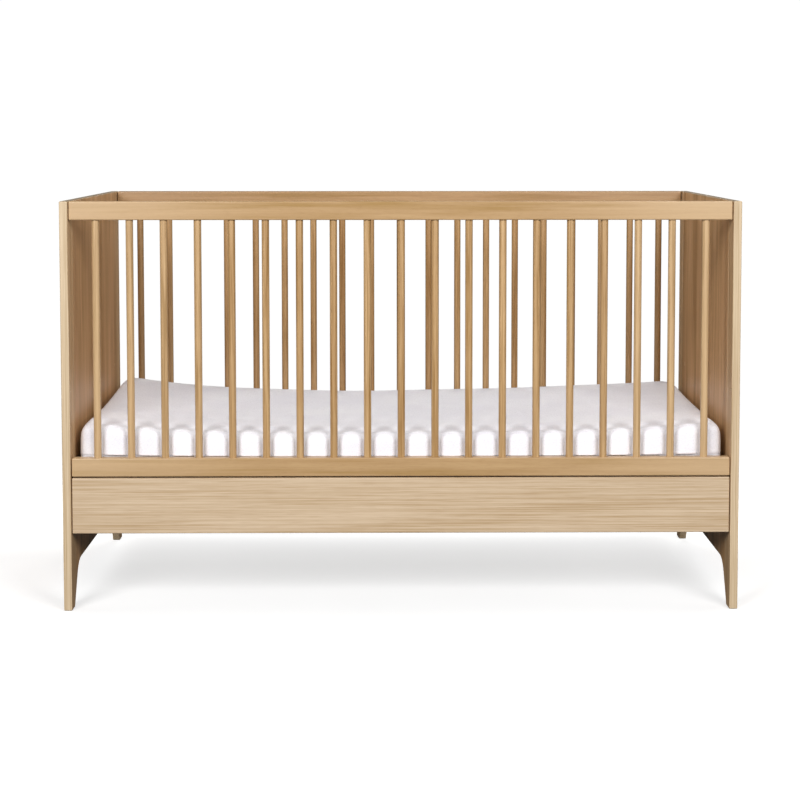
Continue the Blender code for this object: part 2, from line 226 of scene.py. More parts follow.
class Finish:
    """A named surface. Each kind has its own shader constants, its pattern, and its relief's depth and strength."""

    name: str
    shine: dict[str, float]
    relief: tuple[float, float]

    def pattern(self, tree: Tree, place: Socket) -> tuple[Socket, Socket]:
        """The colour, and the height of the relief, from Object coordinates in metres."""
        raise NotImplementedError

    def material(self) -> Material:
        """Builds the finish's material.

        Returns:
            The material, on Object coordinates.
        """
        material, tree, shader = blank_material(self.name, **self.shine)
        colour, height = self.pattern(tree, add_node(tree, "ShaderNodeTexCoord").outputs["Object"])
        distance, strength = self.relief
        bumps = add_node(tree, "ShaderNodeBump", {"Height": height, "Distance": distance, "Strength": strength})
        tree.links.new(colour, shader.inputs["Base Color"])
        tree.links.new(bumps.outputs["Normal"], shader.inputs["Normal"])
        return material


@dataclass(frozen=True)
class WoodFinish(Finish):
    """Sawn, planed or turned wood under a satin lacquer.

    Attributes:
        name: The wood and how its surface was made.
        light: The early wood's colour.
        middle: The colour between them.
        dark: The late wood's and the pores' colour.
        grain: The axis that the grain runs along.
        figure: The width and length of the growth lines, in metres.
        drift: The width and length of the broad changes of tone, in metres.
        drift_share: How much the broad changes count, against the growth lines.
        pores: The width and length of the pore lines, in metres.
        pore_share: How much the pore lines darken the wood.
        roughness: The lacquer's roughness.
        spread: How wide the ramp is. A narrow one gives crisp lines.
        reads_tone: Whether each copy has its own tone attribute.
        pale_ends: The colour that the wood turns to at the crib's two ends, if it does. It is painted light: a paler
            colour paints a highlight, a darker one paints shade.
    """

    name: str
    light: str
    middle: str
    dark: str
    grain: Grain
    figure: tuple[float, float]
    drift: tuple[float, float]
    drift_share: float
    pores: tuple[float, float]
    pore_share: float
    roughness: float
    spread: float = 0.12
    reads_tone: bool = False
    pale_ends: str | None = None
    relief = (0.0002, 0.35)

    def cell(self, size: tuple[float, float]) -> tuple[float, float, float]:
        """A noise cell of this width and length, laid along the grain."""
        return tuple(size[1] if axis == self.grain.value else size[0] for axis in range(3))

    @property
    def shine(self) -> dict[str, float]:
        """The lacquer's constants."""
        return {"Roughness": self.roughness, "IOR": 1.5}

    def pattern(self, tree: Tree, place: Socket) -> tuple[Socket, Socket]:
        """Growth lines over broad changes of tone, with pore lines cut into them.

        Args:
            tree: The material's tree.
            place: The Object coordinates.

        Returns:
            The colour's and the height's sockets.
        """
        figure = stretched_noise(tree, place, self.cell(self.figure), 2.0, 0.5)
        drift = stretched_noise(tree, place, self.cell(self.drift), 3.0, 0.3)
        pores = stretched_noise(tree, place, self.cell(self.pores), 1.0)
        mixed = {"Factor": self.drift_share, "A": figure, "B": drift}
        both = add_node(tree, "ShaderNodeMix", mixed, data_type="FLOAT").outputs[0]
        stops = [(0.5 - self.spread, self.dark), (0.5, self.middle), (0.5 + self.spread, self.light)]
        colour = add_node(tree, "ShaderNodeValToRGB", {"Fac": both}, stops=stops).outputs[0]
        mask = add_node(tree, "ShaderNodeValToRGB", {"Fac": pores}, stops=[(0.36, "ffffff"), (0.50, "000000")])
        share = add_node(tree, "ShaderNodeMath", {0: mask.outputs[0], 1: self.pore_share}, operation="MULTIPLY")
        layers = [(share.outputs[0], linear(self.dark), "MULTIPLY")]
        # Painted light at the crib's two ends: a paler colour paints a highlight there, a darker one paints shade.
        if self.pale_ends:
            along = add_node(tree, "ShaderNodeSeparateXYZ", {"Vector": place}).outputs["X"]
            away = add_node(tree, "ShaderNodeMath", {0: along}, operation="ABSOLUTE").outputs[0]
            near, far = PAINTED_END_REACH
            limits = {"Value": away, "From Min": near, "From Max": far, "To Max": PAINTED_END_SHARE}
            share = add_node(tree, "ShaderNodeMapRange", limits, interpolation_type="SMOOTHSTEP")
            layers.append((share.outputs["Result"], linear(self.pale_ends), "MIX"))
        if self.reads_tone:
            tone = add_node(tree, "ShaderNodeAttribute", attribute_name="tone").outputs["Fac"]
            # A darker copy is also a redder one, as in the wood; the back's spindles, painted darker as painted shade,
            # are painted redder with it.
            parts = [add_node(tree, "ShaderNodeMath", {0: tone, 1: p}, operation="POWER") for p in TONE_POWERS]
            channels = {index: part.outputs[0] for index, part in enumerate(parts)}
            layers.append((1.0, add_node(tree, "ShaderNodeCombineColor", channels).outputs[0], "MULTIPLY"))
        for share, layer, mode in layers:
            mixed = {0: share, 6: colour, 7: layer}
            colour = add_node(tree, "ShaderNodeMix", mixed, data_type="RGBA", blend_type=mode).outputs[2]
        return colour, pores


@dataclass(frozen=True)
class MetalFinish(Finish):
    """Bare or plated metal.

    Attributes:
        name: The metal and how its surface was made.
        light: The brightest patches of the plating.
        dark: The dullest patches.
        roughness: The mean roughness.
    """

    name: str
    light: str
    dark: str
    roughness: float
    relief = (0.00005, 0.3)

    @property
    def shine(self) -> dict[str, float]:
        """The metal's constants."""
        return {"Metallic": 1.0, "Roughness": self.roughness}

    def pattern(self, tree: Tree, place: Socket) -> tuple[Socket, Socket]:
        """The plating's bloom in patches of 4 mm, under fine scratches.

        Args:
            tree: The material's tree.
            place: The Object coordinates.

        Returns:
            The colour's and the height's sockets.
        """
        bloom = stretched_noise(tree, place, (0.004, 0.004, 0.004), 4.0)
        scratches = stretched_noise(tree, place, (0.0006, 0.006, 0.0006), 2.0)
        stops = [(0.35, self.dark), (0.65, self.light)]
        return add_node(tree, "ShaderNodeValToRGB", {"Fac": bloom}, stops=stops).outputs[0], scratches


@dataclass(frozen=True)
class ClothFinish(Finish):
    """Knitted or woven cloth.

    Attributes:
        name: The fibre and how it was made up.
        light: The thread's colour.
        dark: The colour between threads.
        thread: The spacing of the wales or threads, in metres.
        sheen: How much the fibre's fuzz catches the light.
    """

    name: str
    light: str
    dark: str
    thread: float
    sheen: float
    relief = (0.0003, 0.5)

    @property
    def shine(self) -> dict[str, float]:
        """The fibre's constants."""
        return {"Roughness": 0.92, "IOR": 1.45, "Sheen_Weight": self.sheen, "Sheen_Roughness": 0.5}

    def pattern(self, tree: Tree, place: Socket) -> tuple[Socket, Socket]:
        """Threads over slow changes of tone where the cloth is slack.

        Args:
            tree: The material's tree.
            place: The Object coordinates.

        Returns:
            The colour's and the height's sockets.
        """
        slack = stretched_noise(tree, place, (0.16, 0.16, 0.05), 3.0)
        threads = stretched_noise(tree, place, (self.thread, self.thread * 2.5, self.thread), 1.0)
        base = add_node(tree, "ShaderNodeValToRGB", {"Fac": slack}, stops=[(0.3, self.dark), (0.7, self.light)])
        weave = add_node(tree, "ShaderNodeValToRGB", {"Fac": threads}, stops=[(0.3, "f2f2f2"), (0.6, "ffffff")])
        mixed = {0: 1.0, 6: base.outputs[0], 7: weave.outputs[0]}
        return add_node(tree, "ShaderNodeMix", mixed, data_type="RGBA", blend_type="MULTIPLY").outputs[2], threads


@dataclass(frozen=True)
class PlasticFinish(Finish):
    """Injection-moulded plastic.

    Attributes:
        name: The plastic and how it was made.
        light: The lighter tone of its slight mottle.
        dark: The darker tone.
    """

    name: str
    light: str
    dark: str
    relief = (0.00005, 0.3)

    @property
    def shine(self) -> dict[str, float]:
        """The plastic's constants."""
        return {"Roughness": 0.45, "IOR": 1.49}

    def pattern(self, tree: Tree, place: Socket) -> tuple[Socket, Socket]:
        """A slight mottle of 3 mm.

        Args:
            tree: The material's tree.
            place: The Object coordinates.

        Returns:
            The colour's and the height's sockets.
        """
        mottle = stretched_noise(tree, place, (0.003, 0.003, 0.003), 2.0)
        stops = [(0.4, self.dark), (0.6, self.light)]
        return add_node(tree, "ShaderNodeValToRGB", {"Fac": mottle}, stops=stops).outputs[0], mottle


# Flat-cut oak veneer, sanded and matt lacquered: upright growth lines in broad light and dark bands, with open
# pores drawn as lines 3 mm apart, because real pores, 0.3 mm wide, are too fine to show.
PANEL_OAK = WoodFinish(
    "oak_veneer_sanded_matt_lacquer", "cfa478", "bb9265", "9f7549", Grain.UPRIGHT,
    (0.006, 0.30), (0.045, 0.90), 0.60, (0.003, 0.09), 0.22, 0.42,
)
# The right panel's veneer is painted paler than the left's: painted light on its inner face.
PANEL_OAK_PAINTED_LIGHT = replace(PANEL_OAK, name=PANEL_OAK.name + "_paler", light="dbae80", middle="c69c6c", dark="a87d4f")
# Solid oak lipping on the board's edges, planed and sanded: paler than the veneer, with close straight lines.
EDGE_OAK = WoodFinish(
    "oak_lipping_planed", "d8c2a3", "ccb594", "bba17d", Grain.UPRIGHT,
    (0.0026, 0.30), (0.010, 0.60), 0.30, (0.002, 0.08), 0.12, 0.40,
)
# The lipping's wide face beside the veneer: the same oak, flat-cut, and painted darker and warmer than its edge as
# painted shade.
FACE_OAK_PAINTED_SHADE = WoodFinish(
    "oak_lipping_flat_cut", "d0ae85", "c09c72", "a88459", Grain.UPRIGHT,
    (0.005, 0.30), (0.018, 0.70), 0.45, (0.0025, 0.08), 0.18, 0.42,
)
# The lipping on the board's top: duller, and painted greyer as a painted reflection of the white surroundings seen at
# a low angle.
TOP_OAK_PAINTED_REFLECTION = WoodFinish(
    "oak_lipping_end_grain", "b5a48e", "a5937c", "8f7d66", Grain.ACROSS,
    (0.0028, 0.05), (0.012, 0.20), 0.30, (0.002, 0.01), 0.20, 0.65,
)
# The same veneer laid level along the aprons: close lines 6 to 9 mm apart that waver a little.
APRON_OAK = WoodFinish(
    "oak_veneer_level_matt_lacquer", "d3bc9f", "c9b193", "b89c78", Grain.LEVEL,
    (0.0025, 0.30), (0.022, 0.60), 0.35, (0.0016, 0.05), 0.14, 0.42,
)
# Planed beech under satin lacquer: an even, warm wood with faint long streaks and short flecks, which gives
# the rails a soft gloss at a low angle. Towards the crib's two ends the rails are painted paler: a painted
# reflection of the softboxes in the lacquer.
RAIL_BEECH = WoodFinish(
    "beech_planed_satin_lacquer", "bf9e73", "b49268", "a58351", Grain.LEVEL,
    (0.006, 0.30), (0.022, 0.40), 0.60, (0.0022, 0.02), 0.08, 0.32, 0.16, False, "dcc09c",
)
# The back's rails: the same beech, painted darker and redder as painted shade, and darker still towards the crib's two
# ends as painted shade in the corners.
BACK_BEECH_PAINTED_SHADE = replace(
    RAIL_BEECH,
    name="beech_planed_satin_lacquer_red",
    light="bd9b70",
    middle="b08c64",
    dark="9d7a4b",
    pale_ends="94714c",
)
# Turned beech dowel: upright grain, and a tone of its own for every spindle. Towards the crib's two ends the spindles
# are painted paler: a painted highlight.
SPINDLE_BEECH = WoodFinish(
    "beech_turned_satin_lacquer", "ccaa7c", "bb976a", "9d7846", Grain.UPRIGHT,
    (0.0035, 0.20), (0.010, 0.30), 0.45, (0.002, 0.03), 0.10, 0.32, 0.13, True, "d9bd97",
)
# Planed pine without lacquer: pale and dry, with wide soft growth bands.
BASE_PINE = WoodFinish(
    "pine_planed_unfinished", "dcc39b", "cfb082", "b98f5a", Grain.LEVEL,
    (0.007, 0.4), (0.022, 0.6), 0.45, (0.003, 0.08), 0.12, 0.62,
)
SLAT_PINE = WoodFinish(
    "pine_slat_planed_unfinished", "e0c9a3", "d3b68a", "bd9562", Grain.ACROSS,
    (0.007, 0.4), (0.020, 0.5), 0.45, (0.003, 0.08), 0.12, 0.62, 0.12, True,
)
# Bright zinc plate over steel: a grey mirror that the plating's bloom breaks up.
ZINC = MetalFinish("steel_bright_zinc_plated", "c9ccd0", "a9adb2", 0.32)
# Die-cast zinc of the cams: duller and slightly blue.
CAST_ZINC = MetalFinish("zinc_die_cast", "a7abb1", "8f9399", 0.45)
# Cotton jersey: soft white, with a fuzz that lifts its edges. Its wales, 0.7 mm apart, are drawn 2 mm apart.
JERSEY = ClothFinish("cotton_jersey_knitted", "f5f5fa", "edecf4", 0.002, 0.15)
# Plain cotton ticking on the foam, under the sheet.
TICKING = ClothFinish("cotton_ticking_woven", "e9e6df", "dedbd3", 0.003, 0.05)
# The gathered elastic binding of the sheet.
BINDING = ClothFinish("elastic_binding_covered", "f0eff1", "dddbe0", 0.0015, 0.1)
# Moulded polypropylene caps: the oak's colour, with the even half-gloss of plastic.
CAP_PLASTIC = PlasticFinish("polypropylene_moulded", "c8aa85", "bb9b74")


# ---- Meshes


def new_object(name: str, mesh: bpy.types.Mesh) -> Object:
    """Links a new object of the mesh to the scene.

    Args:
        name: The object's name.
        mesh: Its mesh.

    Returns:
        The object.
    """
    obj = bpy.data.objects.new(name, mesh)
    bpy.context.scene.collection.objects.link(obj)
    return obj


def object_from(name: str, builder: Callable[[Mesh], None]) -> Object:
    """Makes an object of what a builder adds to an empty bmesh.

    Args:
        name: The object's name.
        builder: Adds geometry to the bmesh that it is given.

    Returns:
        The object, its doubles merged and its faces pointing outwards.
    """
    bm = bmesh.new()
    builder(bm)
    bmesh.ops.remove_doubles(bm, verts=bm.verts, dist=WELD)
    bmesh.ops.recalc_face_normals(bm, faces=bm.faces)
    mesh = bpy.data.meshes.new(name)
    bm.to_mesh(mesh)
    bm.free()
    return new_object(name, mesh)


def settle(obj: Object) -> Object:
    """Turns an object with modifiers into one with a plain mesh.

    Args:
        obj: The object, which is removed.

    Returns:
        An object of the same name with the evaluated mesh and no modifiers.
    """
    bpy.context.view_layer.update()
    evaluated = obj.evaluated_get(bpy.context.evaluated_depsgraph_get())
    mesh = bpy.data.meshes.new_from_object(evaluated)
    name = obj.name
    bpy.data.objects.remove(obj)
    mesh.name = name
    return new_object(name, mesh)


def shade(obj: Object) -> Object:
    """Shades rounded edges smoothly and keeps flat faces flat.

    Args:
        obj: The object, whose modifiers are applied.

    Returns:
        The settled object.
    """
    obj.data.shade_smooth()
    obj.data.set_sharp_from_angle(angle=SHARP_ANGLE)
    weighting = obj.modifiers.new("flat_faces", "WEIGHTED_NORMAL")
    weighting.keep_sharp = True
    return settle(obj)


def add_eased_box(bm: Mesh, corner: Point, opposite: Point, ease: float, segments: int = 3) -> None:
    """Adds a board with rounded edges.

    Args:
        bm: The mesh that gets the board.
        corner: One of the board's corners.
        opposite: The corner farthest from it.
        ease: The radius of its edges.
        segments: Facets across each edge.
    """
    size = [abs(b - a) for a, b in zip(corner, opposite)]
    centre = [(a + b) / 2 for a, b in zip(corner, opposite)]
    place = Matrix.Translation(centre) @ Matrix.Diagonal((*size, 1))
    made = bmesh.ops.create_cube(bm, size=1, matrix=place)
    edges = list({edge for vertex in made["verts"] for edge in vertex.link_edges})
    bmesh.ops.bevel(bm, geom=edges, offset=ease, segments=segments, profile=0.5, affect="EDGES")


def add_rod(bm: Mesh, start: Point, end: Point, diameter: float, sides: int = ROUND_SIDES) -> None:
    """Adds a straight rod, which cutters are made of.

    Args:
        bm: The mesh that gets the rod.
        start: The middle of one end.
        end: The middle of the other end.
        diameter: The rod's diameter.
        sides: Its facets.
    """
    along = Vector(end) - Vector(start)
    turn = along.to_track_quat("Z", "Y").to_matrix().to_4x4()
    place = Matrix.Translation((Vector(start) + Vector(end)) / 2) @ turn
    size = {"radius1": diameter / 2, "radius2": diameter / 2, "depth": along.length}
    bmesh.ops.create_cone(bm, cap_ends=True, segments=sides, matrix=place, **size)


def cut_by(obj: Object, add_cutter: Callable[[Mesh], None]) -> Object:
    """Cuts a shape out of a piece.

    Args:
        obj: The piece, which is removed.
        add_cutter: Adds the shape to the bmesh that it is given.

    Returns:
        The cut piece.
    """
    cutter = object_from("cutter", add_cutter)
    cut = obj.modifiers.new("cut", "BOOLEAN")
    cut.operation = "DIFFERENCE"
    cut.solver = "EXACT"
    cut.object = cutter
    result = settle(obj)
    bpy.data.objects.remove(cutter)
    return result


def drilled(obj: Object, rods: Iterable[Rod]) -> Object:
    """Bores straight holes in a piece.

    Args:
        obj: The piece, which is removed.
        rods: The start, end, diameter and facets of each hole.

    Returns:
        The bored piece.
    """

    def add_all(bm: Mesh) -> None:
        """Adds every cutter's rod."""
        for start, end, diameter, sides in rods:
            add_rod(bm, start, end, diameter, sides)

    return cut_by(obj, add_all)


def turned(name: str, profile: Sequence[tuple[float, float]], sides: int = SMALL_ROUND_SIDES) -> Object:
    """Turns a profile about Z, with closed poles.

    Args:
        name: The object's name.
        profile: Radii and heights, from one pole to the other.
        sides: Facets round the axis.

    Returns:
        The turned object, at the origin.
    """

    def spin(bm: Mesh) -> None:
        """Adds the profile and spins it round.

        Args:
            bm: The mesh that it is added to.
        """
        points = [bm.verts.new((radius, 0, height)) for radius, height in profile]
        edges = [bm.edges.new(pair) for pair in zip(points, points[1:])]
        turn = {"cent": (0, 0, 0), "axis": (0, 0, 1), "angle": 2 * math.pi, "steps": sides}
        bmesh.ops.spin(bm, geom=points + edges, use_merge=True, **turn)

    obj = object_from(name, spin)
    obj.data.shade_smooth()
    obj.data.set_sharp_from_angle(angle=TURNED_SHARP_ANGLE)
    return obj


def finished(obj: Object, material: Material, body: str, replaced: Sequence[str] = ()) -> Object:
    """Dresses a piece and ties it to the frame.

    Args:
        obj: The piece.
        material: Its material.
        body: The CAD body that it rides on.
        replaced: The CAD nodes that it stands for.

    Returns:
        The same piece.
    """
    obj.data.materials.clear()
    obj.data.materials.append(material)
    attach(obj, body)
    if replaced:
        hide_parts(*replaced)
    LOG.info("%s: %d faces on %s", obj.name, len(obj.data.polygons), body)
    return obj


# ---- Geometry Nodes


def copies_tree(in_a_row: bool) -> Tree:
    """Builds the tree that repeats a blank, in a row or at the places of the object's own points.

    Args:
        in_a_row: Whether the copies stand in a row. Otherwise each point of the mesh gets one, turned by its
            turn attribute.

    Returns:
        The tree. Its inputs are Blank, Seed, Darkest, Lightest and Finish and, for a row, Count, First, Step.
    """
    tree = bpy.data.node_groups.new("copies_in_a_row" if in_a_row else "copies_at_places", "GeometryNodeTree")
    sockets = {"Geometry": "Geometry", "Blank": "Object", "Seed": "Int"}
    sockets |= {"Darkest": "Float", "Lightest": "Float", "Finish": "Material"}
    if in_a_row:
        sockets |= {"Count": "Int", "First": "Vector", "Step": "Vector"}
    for name, kind in sockets.items():
        tree.interface.new_socket(name, in_out="INPUT", socket_type=f"NodeSocket{kind}")
    tree.interface.new_socket("Geometry", in_out="OUTPUT", socket_type="NodeSocketGeometry")
    given = add_node(tree, "NodeGroupInput").outputs
    blank = add_node(tree, "GeometryNodeObjectInfo", {"Object": given["Blank"]}, transform_space="ORIGINAL")
    placed = {"Points": given["Geometry"], "Instance": blank.outputs["Geometry"]}
    if in_a_row:
        line = {"Count": given["Count"], "Start Location": given["First"], "Offset": given["Step"]}
        placed["Points"] = add_node(tree, "GeometryNodeMeshLine", line, mode="OFFSET").outputs["Mesh"]
    else:
        turn = add_node(tree, "GeometryNodeInputNamedAttribute", {"Name": "turn"}, data_type="FLOAT_VECTOR")
        rotation = add_node(tree, "FunctionNodeEulerToRotation", {"Euler": turn.outputs["Attribute"]})
        placed["Rotation"] = rotation.outputs["Rotation"]
    copies = add_node(tree, "GeometryNodeInstanceOnPoints", placed).outputs["Instances"]
    limits = {2: given["Darkest"], 3: given["Lightest"], "Seed": given["Seed"]}
    tones = add_node(tree, "FunctionNodeRandomValue", limits, data_type="FLOAT").outputs[1]
    stored = {"Geometry": copies, "Name": "tone", "Value": tones}
    toned = add_node(tree, "GeometryNodeStoreNamedAttribute", stored, data_type="FLOAT", domain="INSTANCE")
    real = add_node(tree, "GeometryNodeRealizeInstances", {"Geometry": toned.outputs["Geometry"]})
    dressing = {"Geometry": real.outputs["Geometry"], "Material": given["Finish"]}
    dressed = add_node(tree, "GeometryNodeSetMaterial", dressing)
    add_node(tree, "NodeGroupOutput", {"Geometry": dressed.outputs["Geometry"]})
    return tree


def grown(obj: Object, tree: Tree, values: dict[str, Any]) -> Object:
    """Runs a Geometry Nodes tree on an object and keeps the result as a plain mesh.

    Args:
        obj: The carrier, which is removed together with the blank.
        tree: The tree.
        values: The tree's inputs, by name.

    Returns:
        The object made of the copies.
    """
    modifier = obj.modifiers.new("copies", "NODES")
    modifier.node_group = tree
    for item in tree.interface.items_tree:
        if item.in_out == "INPUT" and item.name in values:
            modifier[item.identifier] = values[item.name]
    result = settle(obj)
    bpy.data.objects.remove(values["Blank"])
    return result


@dataclass
class Workshop:
    """The materials and Geometry Nodes trees that every assembly shares."""

    def __post_init__(self) -> None:
        """Builds the materials and trees once."""
        # The right panel's paler veneer is painted light.
        self.panel_oak = {End.LEFT: PANEL_OAK.material(), End.RIGHT: PANEL_OAK_PAINTED_LIGHT.material()}
        self.edge_oak, self.face_oak, self.top_oak = (oak.material() for oak in (EDGE_OAK, FACE_OAK_PAINTED_SHADE, TOP_OAK_PAINTED_REFLECTION))
        self.apron_oak, self.spindle_beech = APRON_OAK.material(), SPINDLE_BEECH.material()
        self.rail_beech = {Side.FRONT: RAIL_BEECH.material(), Side.BACK: BACK_BEECH_PAINTED_SHADE.material()}
        self.base_pine, self.slat_pine = BASE_PINE.material(), SLAT_PINE.material()
        self.zinc, self.cast_zinc, self.cap = (given.material() for given in (ZINC, CAST_ZINC, CAP_PLASTIC))
        self.jersey, self.ticking, self.binding = (cloth.material() for cloth in (JERSEY, TICKING, BINDING))
        self.row_tree, self.place_tree = copies_tree(True), copies_tree(False)

    def row(
        self,
        blank: Object,
        name: str,
        count: int,
        first: Point,
        step: Point,
        material: Material,
        tones: tuple[float, float] = (1.0, 1.0),
        seed: int = SEED,
    ) -> Object:
        """Repeats a blank in a straight row.

        Args:
            blank: The piece to repeat, which is removed.
            name: The new piece's name.
            count: How many copies.
            first: The first copy's place.
            step: From one copy to the next.
            material: The copies' material.
            tones: The darkest and lightest tone that a copy may have.
            seed: The seed of the tones.

        Returns:
            One object with every copy.
        """
        carrier = new_object(name, bpy.data.meshes.new(name))
        values = {"Blank": blank, "Seed": seed, "Darkest": tones[0], "Lightest": tones[1], "Finish": material}
        values |= {"Count": count, "First": tuple(first), "Step": tuple(step)}
        return grown(carrier, self.row_tree, values)

    def at_places(self, blank: Object, name: str, places: Sequence[Place], material: Material) -> Object:
        """Puts a copy of a blank at each place.

        Args:
            blank: The piece to repeat, with its head facing +Z. It is removed.
            name: The new piece's name.
            places: For each copy, its place and the direction that its head faces.
            material: The copies' material.

        Returns:
            One object with every copy.
        """
        mesh = bpy.data.meshes.new(name)
        mesh.from_pydata([place for place, _ in places], [], [])
        turn = mesh.attributes.new("turn", "FLOAT_VECTOR", "POINT")
        for item, (_, facing) in zip(turn.data, places):
            item.vector = Vector(facing).to_track_quat("Z", "Y").to_euler()
        values = {"Blank": blank, "Seed": SEED, "Darkest": 1.0, "Lightest": 1.0, "Finish": material}
        return grown(new_object(name, mesh), self.place_tree, values)

    def fasten(
        self,
        blank: Object,
        name: str,
        places: Sequence[Place],
        material: Material,
        body: str,
        replaced: Sequence[str] = (),
    ) -> None:
        """Makes one finished piece of copies of a fastener.

        Args:
            blank: The fastener, with its head facing +Z. It is removed.
            name: The new piece's name.
            places: For each copy, its place and the direction that its head faces.
            material: The copies' material.
            body: The CAD body that they ride on.
            replaced: The CAD nodes that they stand for.
        """
        finished(self.at_places(blank, name, places, material), material, body, replaced)


# ---- End panels


@dataclass
class EndPanel:
    """A veneered board with two tapered legs and an arch between them.

    Attributes:
        end: Which end of the crib it stands at.
        foot_depth: The leg's depth at the floor.
        leg_depth: The leg's depth where its taper would meet the arch.
        arch_height: The arch's height above the floor.
        arch_fillet: The radius between the taper and the arch.
        arch_segments: Facets of that radius.
        ease: The radius of the board's edges.
        bolt_pocket: The diameter and depth of the pocket for a bolt's head.
        insert_hole: The diameter and depth of the holes for the base's bolts.
        insert_levels: The heights of those holes.
        insert_y: Their distance from the crib's middle.
        guard_hole: The diameter, depth, level and inset of the guard rail's socket.
        lipping: The width of the solid lipping along the front and back edges.
        joint: The width and depth of the V-groove between the lipping and the veneer.
    """

    end: End
    foot_depth: float = 0.038
    leg_depth: float = 0.092
    arch_height: float = 0.091
    arch_fillet: float = 0.060
    arch_segments: int = 20
    ease: float = 0.0022
    bolt_pocket: tuple[float, float] = (0.0126, 0.0033)
    insert_hole: tuple[float, float] = (0.0080, 0.012)
    insert_levels: tuple[float, ...] = (0.1937, 0.3237, 0.4537)
    insert_y: float = 0.280
    guard_hole: tuple[float, float, float, float] = (0.007, 0.012, 0.476, 0.012)
    lipping: float = 0.057
    joint: tuple[float, float] = (0.0030, 0.0012)

    @property
    def node(self) -> str:
        """The CAD node of this panel."""
        return f"{self.end.word}_end_panel"

    @property
    def inner_x(self) -> float:
        """Where the inner face stands."""
        low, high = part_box(self.node)
        return low.x if self.end is End.RIGHT else high.x

    @property
    def outer_x(self) -> float:
        """Where the outer face stands."""
        low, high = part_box(self.node)
        return high.x if self.end is End.RIGHT else low.x

    def fillet(self) -> list[tuple[float, float]]:
        """The arc that joins a leg's taper to the arch.

        Returns:
            Points of (depth from the panel's edge, height), from the leg upwards.
        """
        corner = Vector((self.leg_depth, self.arch_height))
        down = (Vector((self.foot_depth, 0)) - corner).normalized()
        along = Vector((1, 0))
        half = down.angle(along) / 2
        centre = corner + (down + along).normalized() * self.arch_fillet / math.sin(half)
        start = corner + down * self.arch_fillet / math.tan(half) - centre
        end = corner + along * self.arch_fillet / math.tan(half) - centre
        sweep, first = start.angle(end), math.atan2(start.y, start.x)
        steps = [first - sweep * i / self.arch_segments for i in range(self.arch_segments + 1)]
        return [(centre.x + self.arch_fillet * math.cos(a), centre.y + self.arch_fillet * math.sin(a)) for a in steps]

    def outline(self) -> list[tuple[float, float]]:
        """The board seen from the side.

        Returns:
            Points of (y, z), once round.
        """
        low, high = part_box(self.node)
        half = high.y
        front = [(-half + depth, z) for depth, z in [(self.foot_depth, 0), *self.fillet()]]
        back = [(-y, z) for y, z in reversed(front)]
        return [(-half, low.z), *front, *back, (half, low.z), (half, high.z), (-half, high.z)]

    def add_board(self, bm: Mesh) -> None:
        """Extrudes the outline to the board's thickness and rounds its edges.

        Args:
            bm: The mesh that it is added to.
        """
        face = bm.faces.new([bm.verts.new((self.inner_x, y, z)) for y, z in self.outline()])
        made = bmesh.ops.extrude_face_region(bm, geom=[face])
        moved = [item for item in made["geom"] if isinstance(item, bmesh.types.BMVert)]
        bmesh.ops.translate(bm, verts=moved, vec=(self.outer_x - self.inner_x, 0, 0))
        bmesh.ops.recalc_face_normals(bm, faces=bm.faces)
        sharp = [edge for edge in bm.edges if edge.calc_face_angle(0) > BEVEL_FROM_ANGLE]
        bmesh.ops.bevel(bm, geom=sharp, offset=self.ease, segments=3, profile=0.5, affect="EDGES")

    def holes(self) -> list[Rod]:
        """The pockets for the bolts' heads, and the holes for the base and the guard rail.

        Returns:
            The start, end, diameter and facets of each hole.
        """
        found = []

        def add(face: float, way: int, y: float, z: float, diameter: float, depth: float) -> None:
            """Adds a hole that goes into a face, the way that the sign says."""
            found.append(((face + way * depth, y, z), (face - way * OVERRUN, y, z), diameter, ROUND_SIDES))

        outwards = self.end.value
        for side in Side:
            for level in LEVELS:
                middle = middle_of(bolt_node(level, side, self.end))
                add(self.outer_x, -outwards, middle.y, middle.z, *self.bolt_pocket)
            for z in self.insert_levels:
                add(self.inner_x, outwards, side.value * self.insert_y, z, *self.insert_hole)
            diameter, depth, z, inset = self.guard_hole
            add(self.inner_x, outwards, side.value * (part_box(self.node)[1].y - inset), z, diameter, depth)
        return found

    def add_joint_cutters(self, bm: Mesh) -> None:
        """Adds the four-sided prisms that cut the V-grooves beside the lipping, on both faces.

        Args:
            bm: The mesh that it is added to.
        """
        low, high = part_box(self.node)
        width, depth = self.joint
        for face in (self.inner_x, self.outer_x):
            for side in Side:
                y = side.value * (high.y - self.lipping)
                corners = [(face - depth, y), (face, y - width / 2), (face + depth, y), (face, y + width / 2)]
                rings = [[bm.verts.new((*corner, z)) for corner in corners] for z in (low.z - 0.01, high.z + 0.01)]
                bm.faces.new(rings[0])
                bm.faces.new(rings[1])
                for index in range(4):
                    after = (index + 1) % 4
                    bm.faces.new((rings[0][index], rings[0][after], rings[1][after], rings[1][index]))

    def finish_of(self, polygon: bpy.types.MeshPolygon) -> int:
        """The number of a face's material: 0 for veneer, 1 for the rim, 2 for the top, 3 for the lipping.

        Args:
            polygon: A face of the board.

        Returns:
            The material's number.
        """
        if polygon.normal.z > 0.8:
            return 2
        if abs(polygon.normal.x) < 0.8:
            return 1
        return 3 if abs(polygon.center.y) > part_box(self.node)[1].y - self.lipping else 0

    def build(self, shop: Workshop) -> None:
        """Makes the board with its grooves and holes.

        Args:
            shop: The shared materials and trees.
        """
        board = cut_by(object_from(f"{self.end.word}_panel", self.add_board), self.add_joint_cutters)
        board = shade(drilled(board, self.holes()))
        finished(board, shop.panel_oak[self.end], "frame", [self.node])
        for material in (shop.edge_oak, shop.top_oak, shop.face_oak):
            board.data.materials.append(material)
        for polygon in board.data.polygons:
            polygon.material_index = self.finish_of(polygon)

    def insert_places(self) -> list[Place]:
        """Where the threaded inserts end, flush with the inner face, and the way they face."""
        facing = (-self.end.value, 0, 0)
        return [((self.inner_x, side.value * self.insert_y, z), facing) for side in Side for z in self.insert_levels]


# ---- Long sides


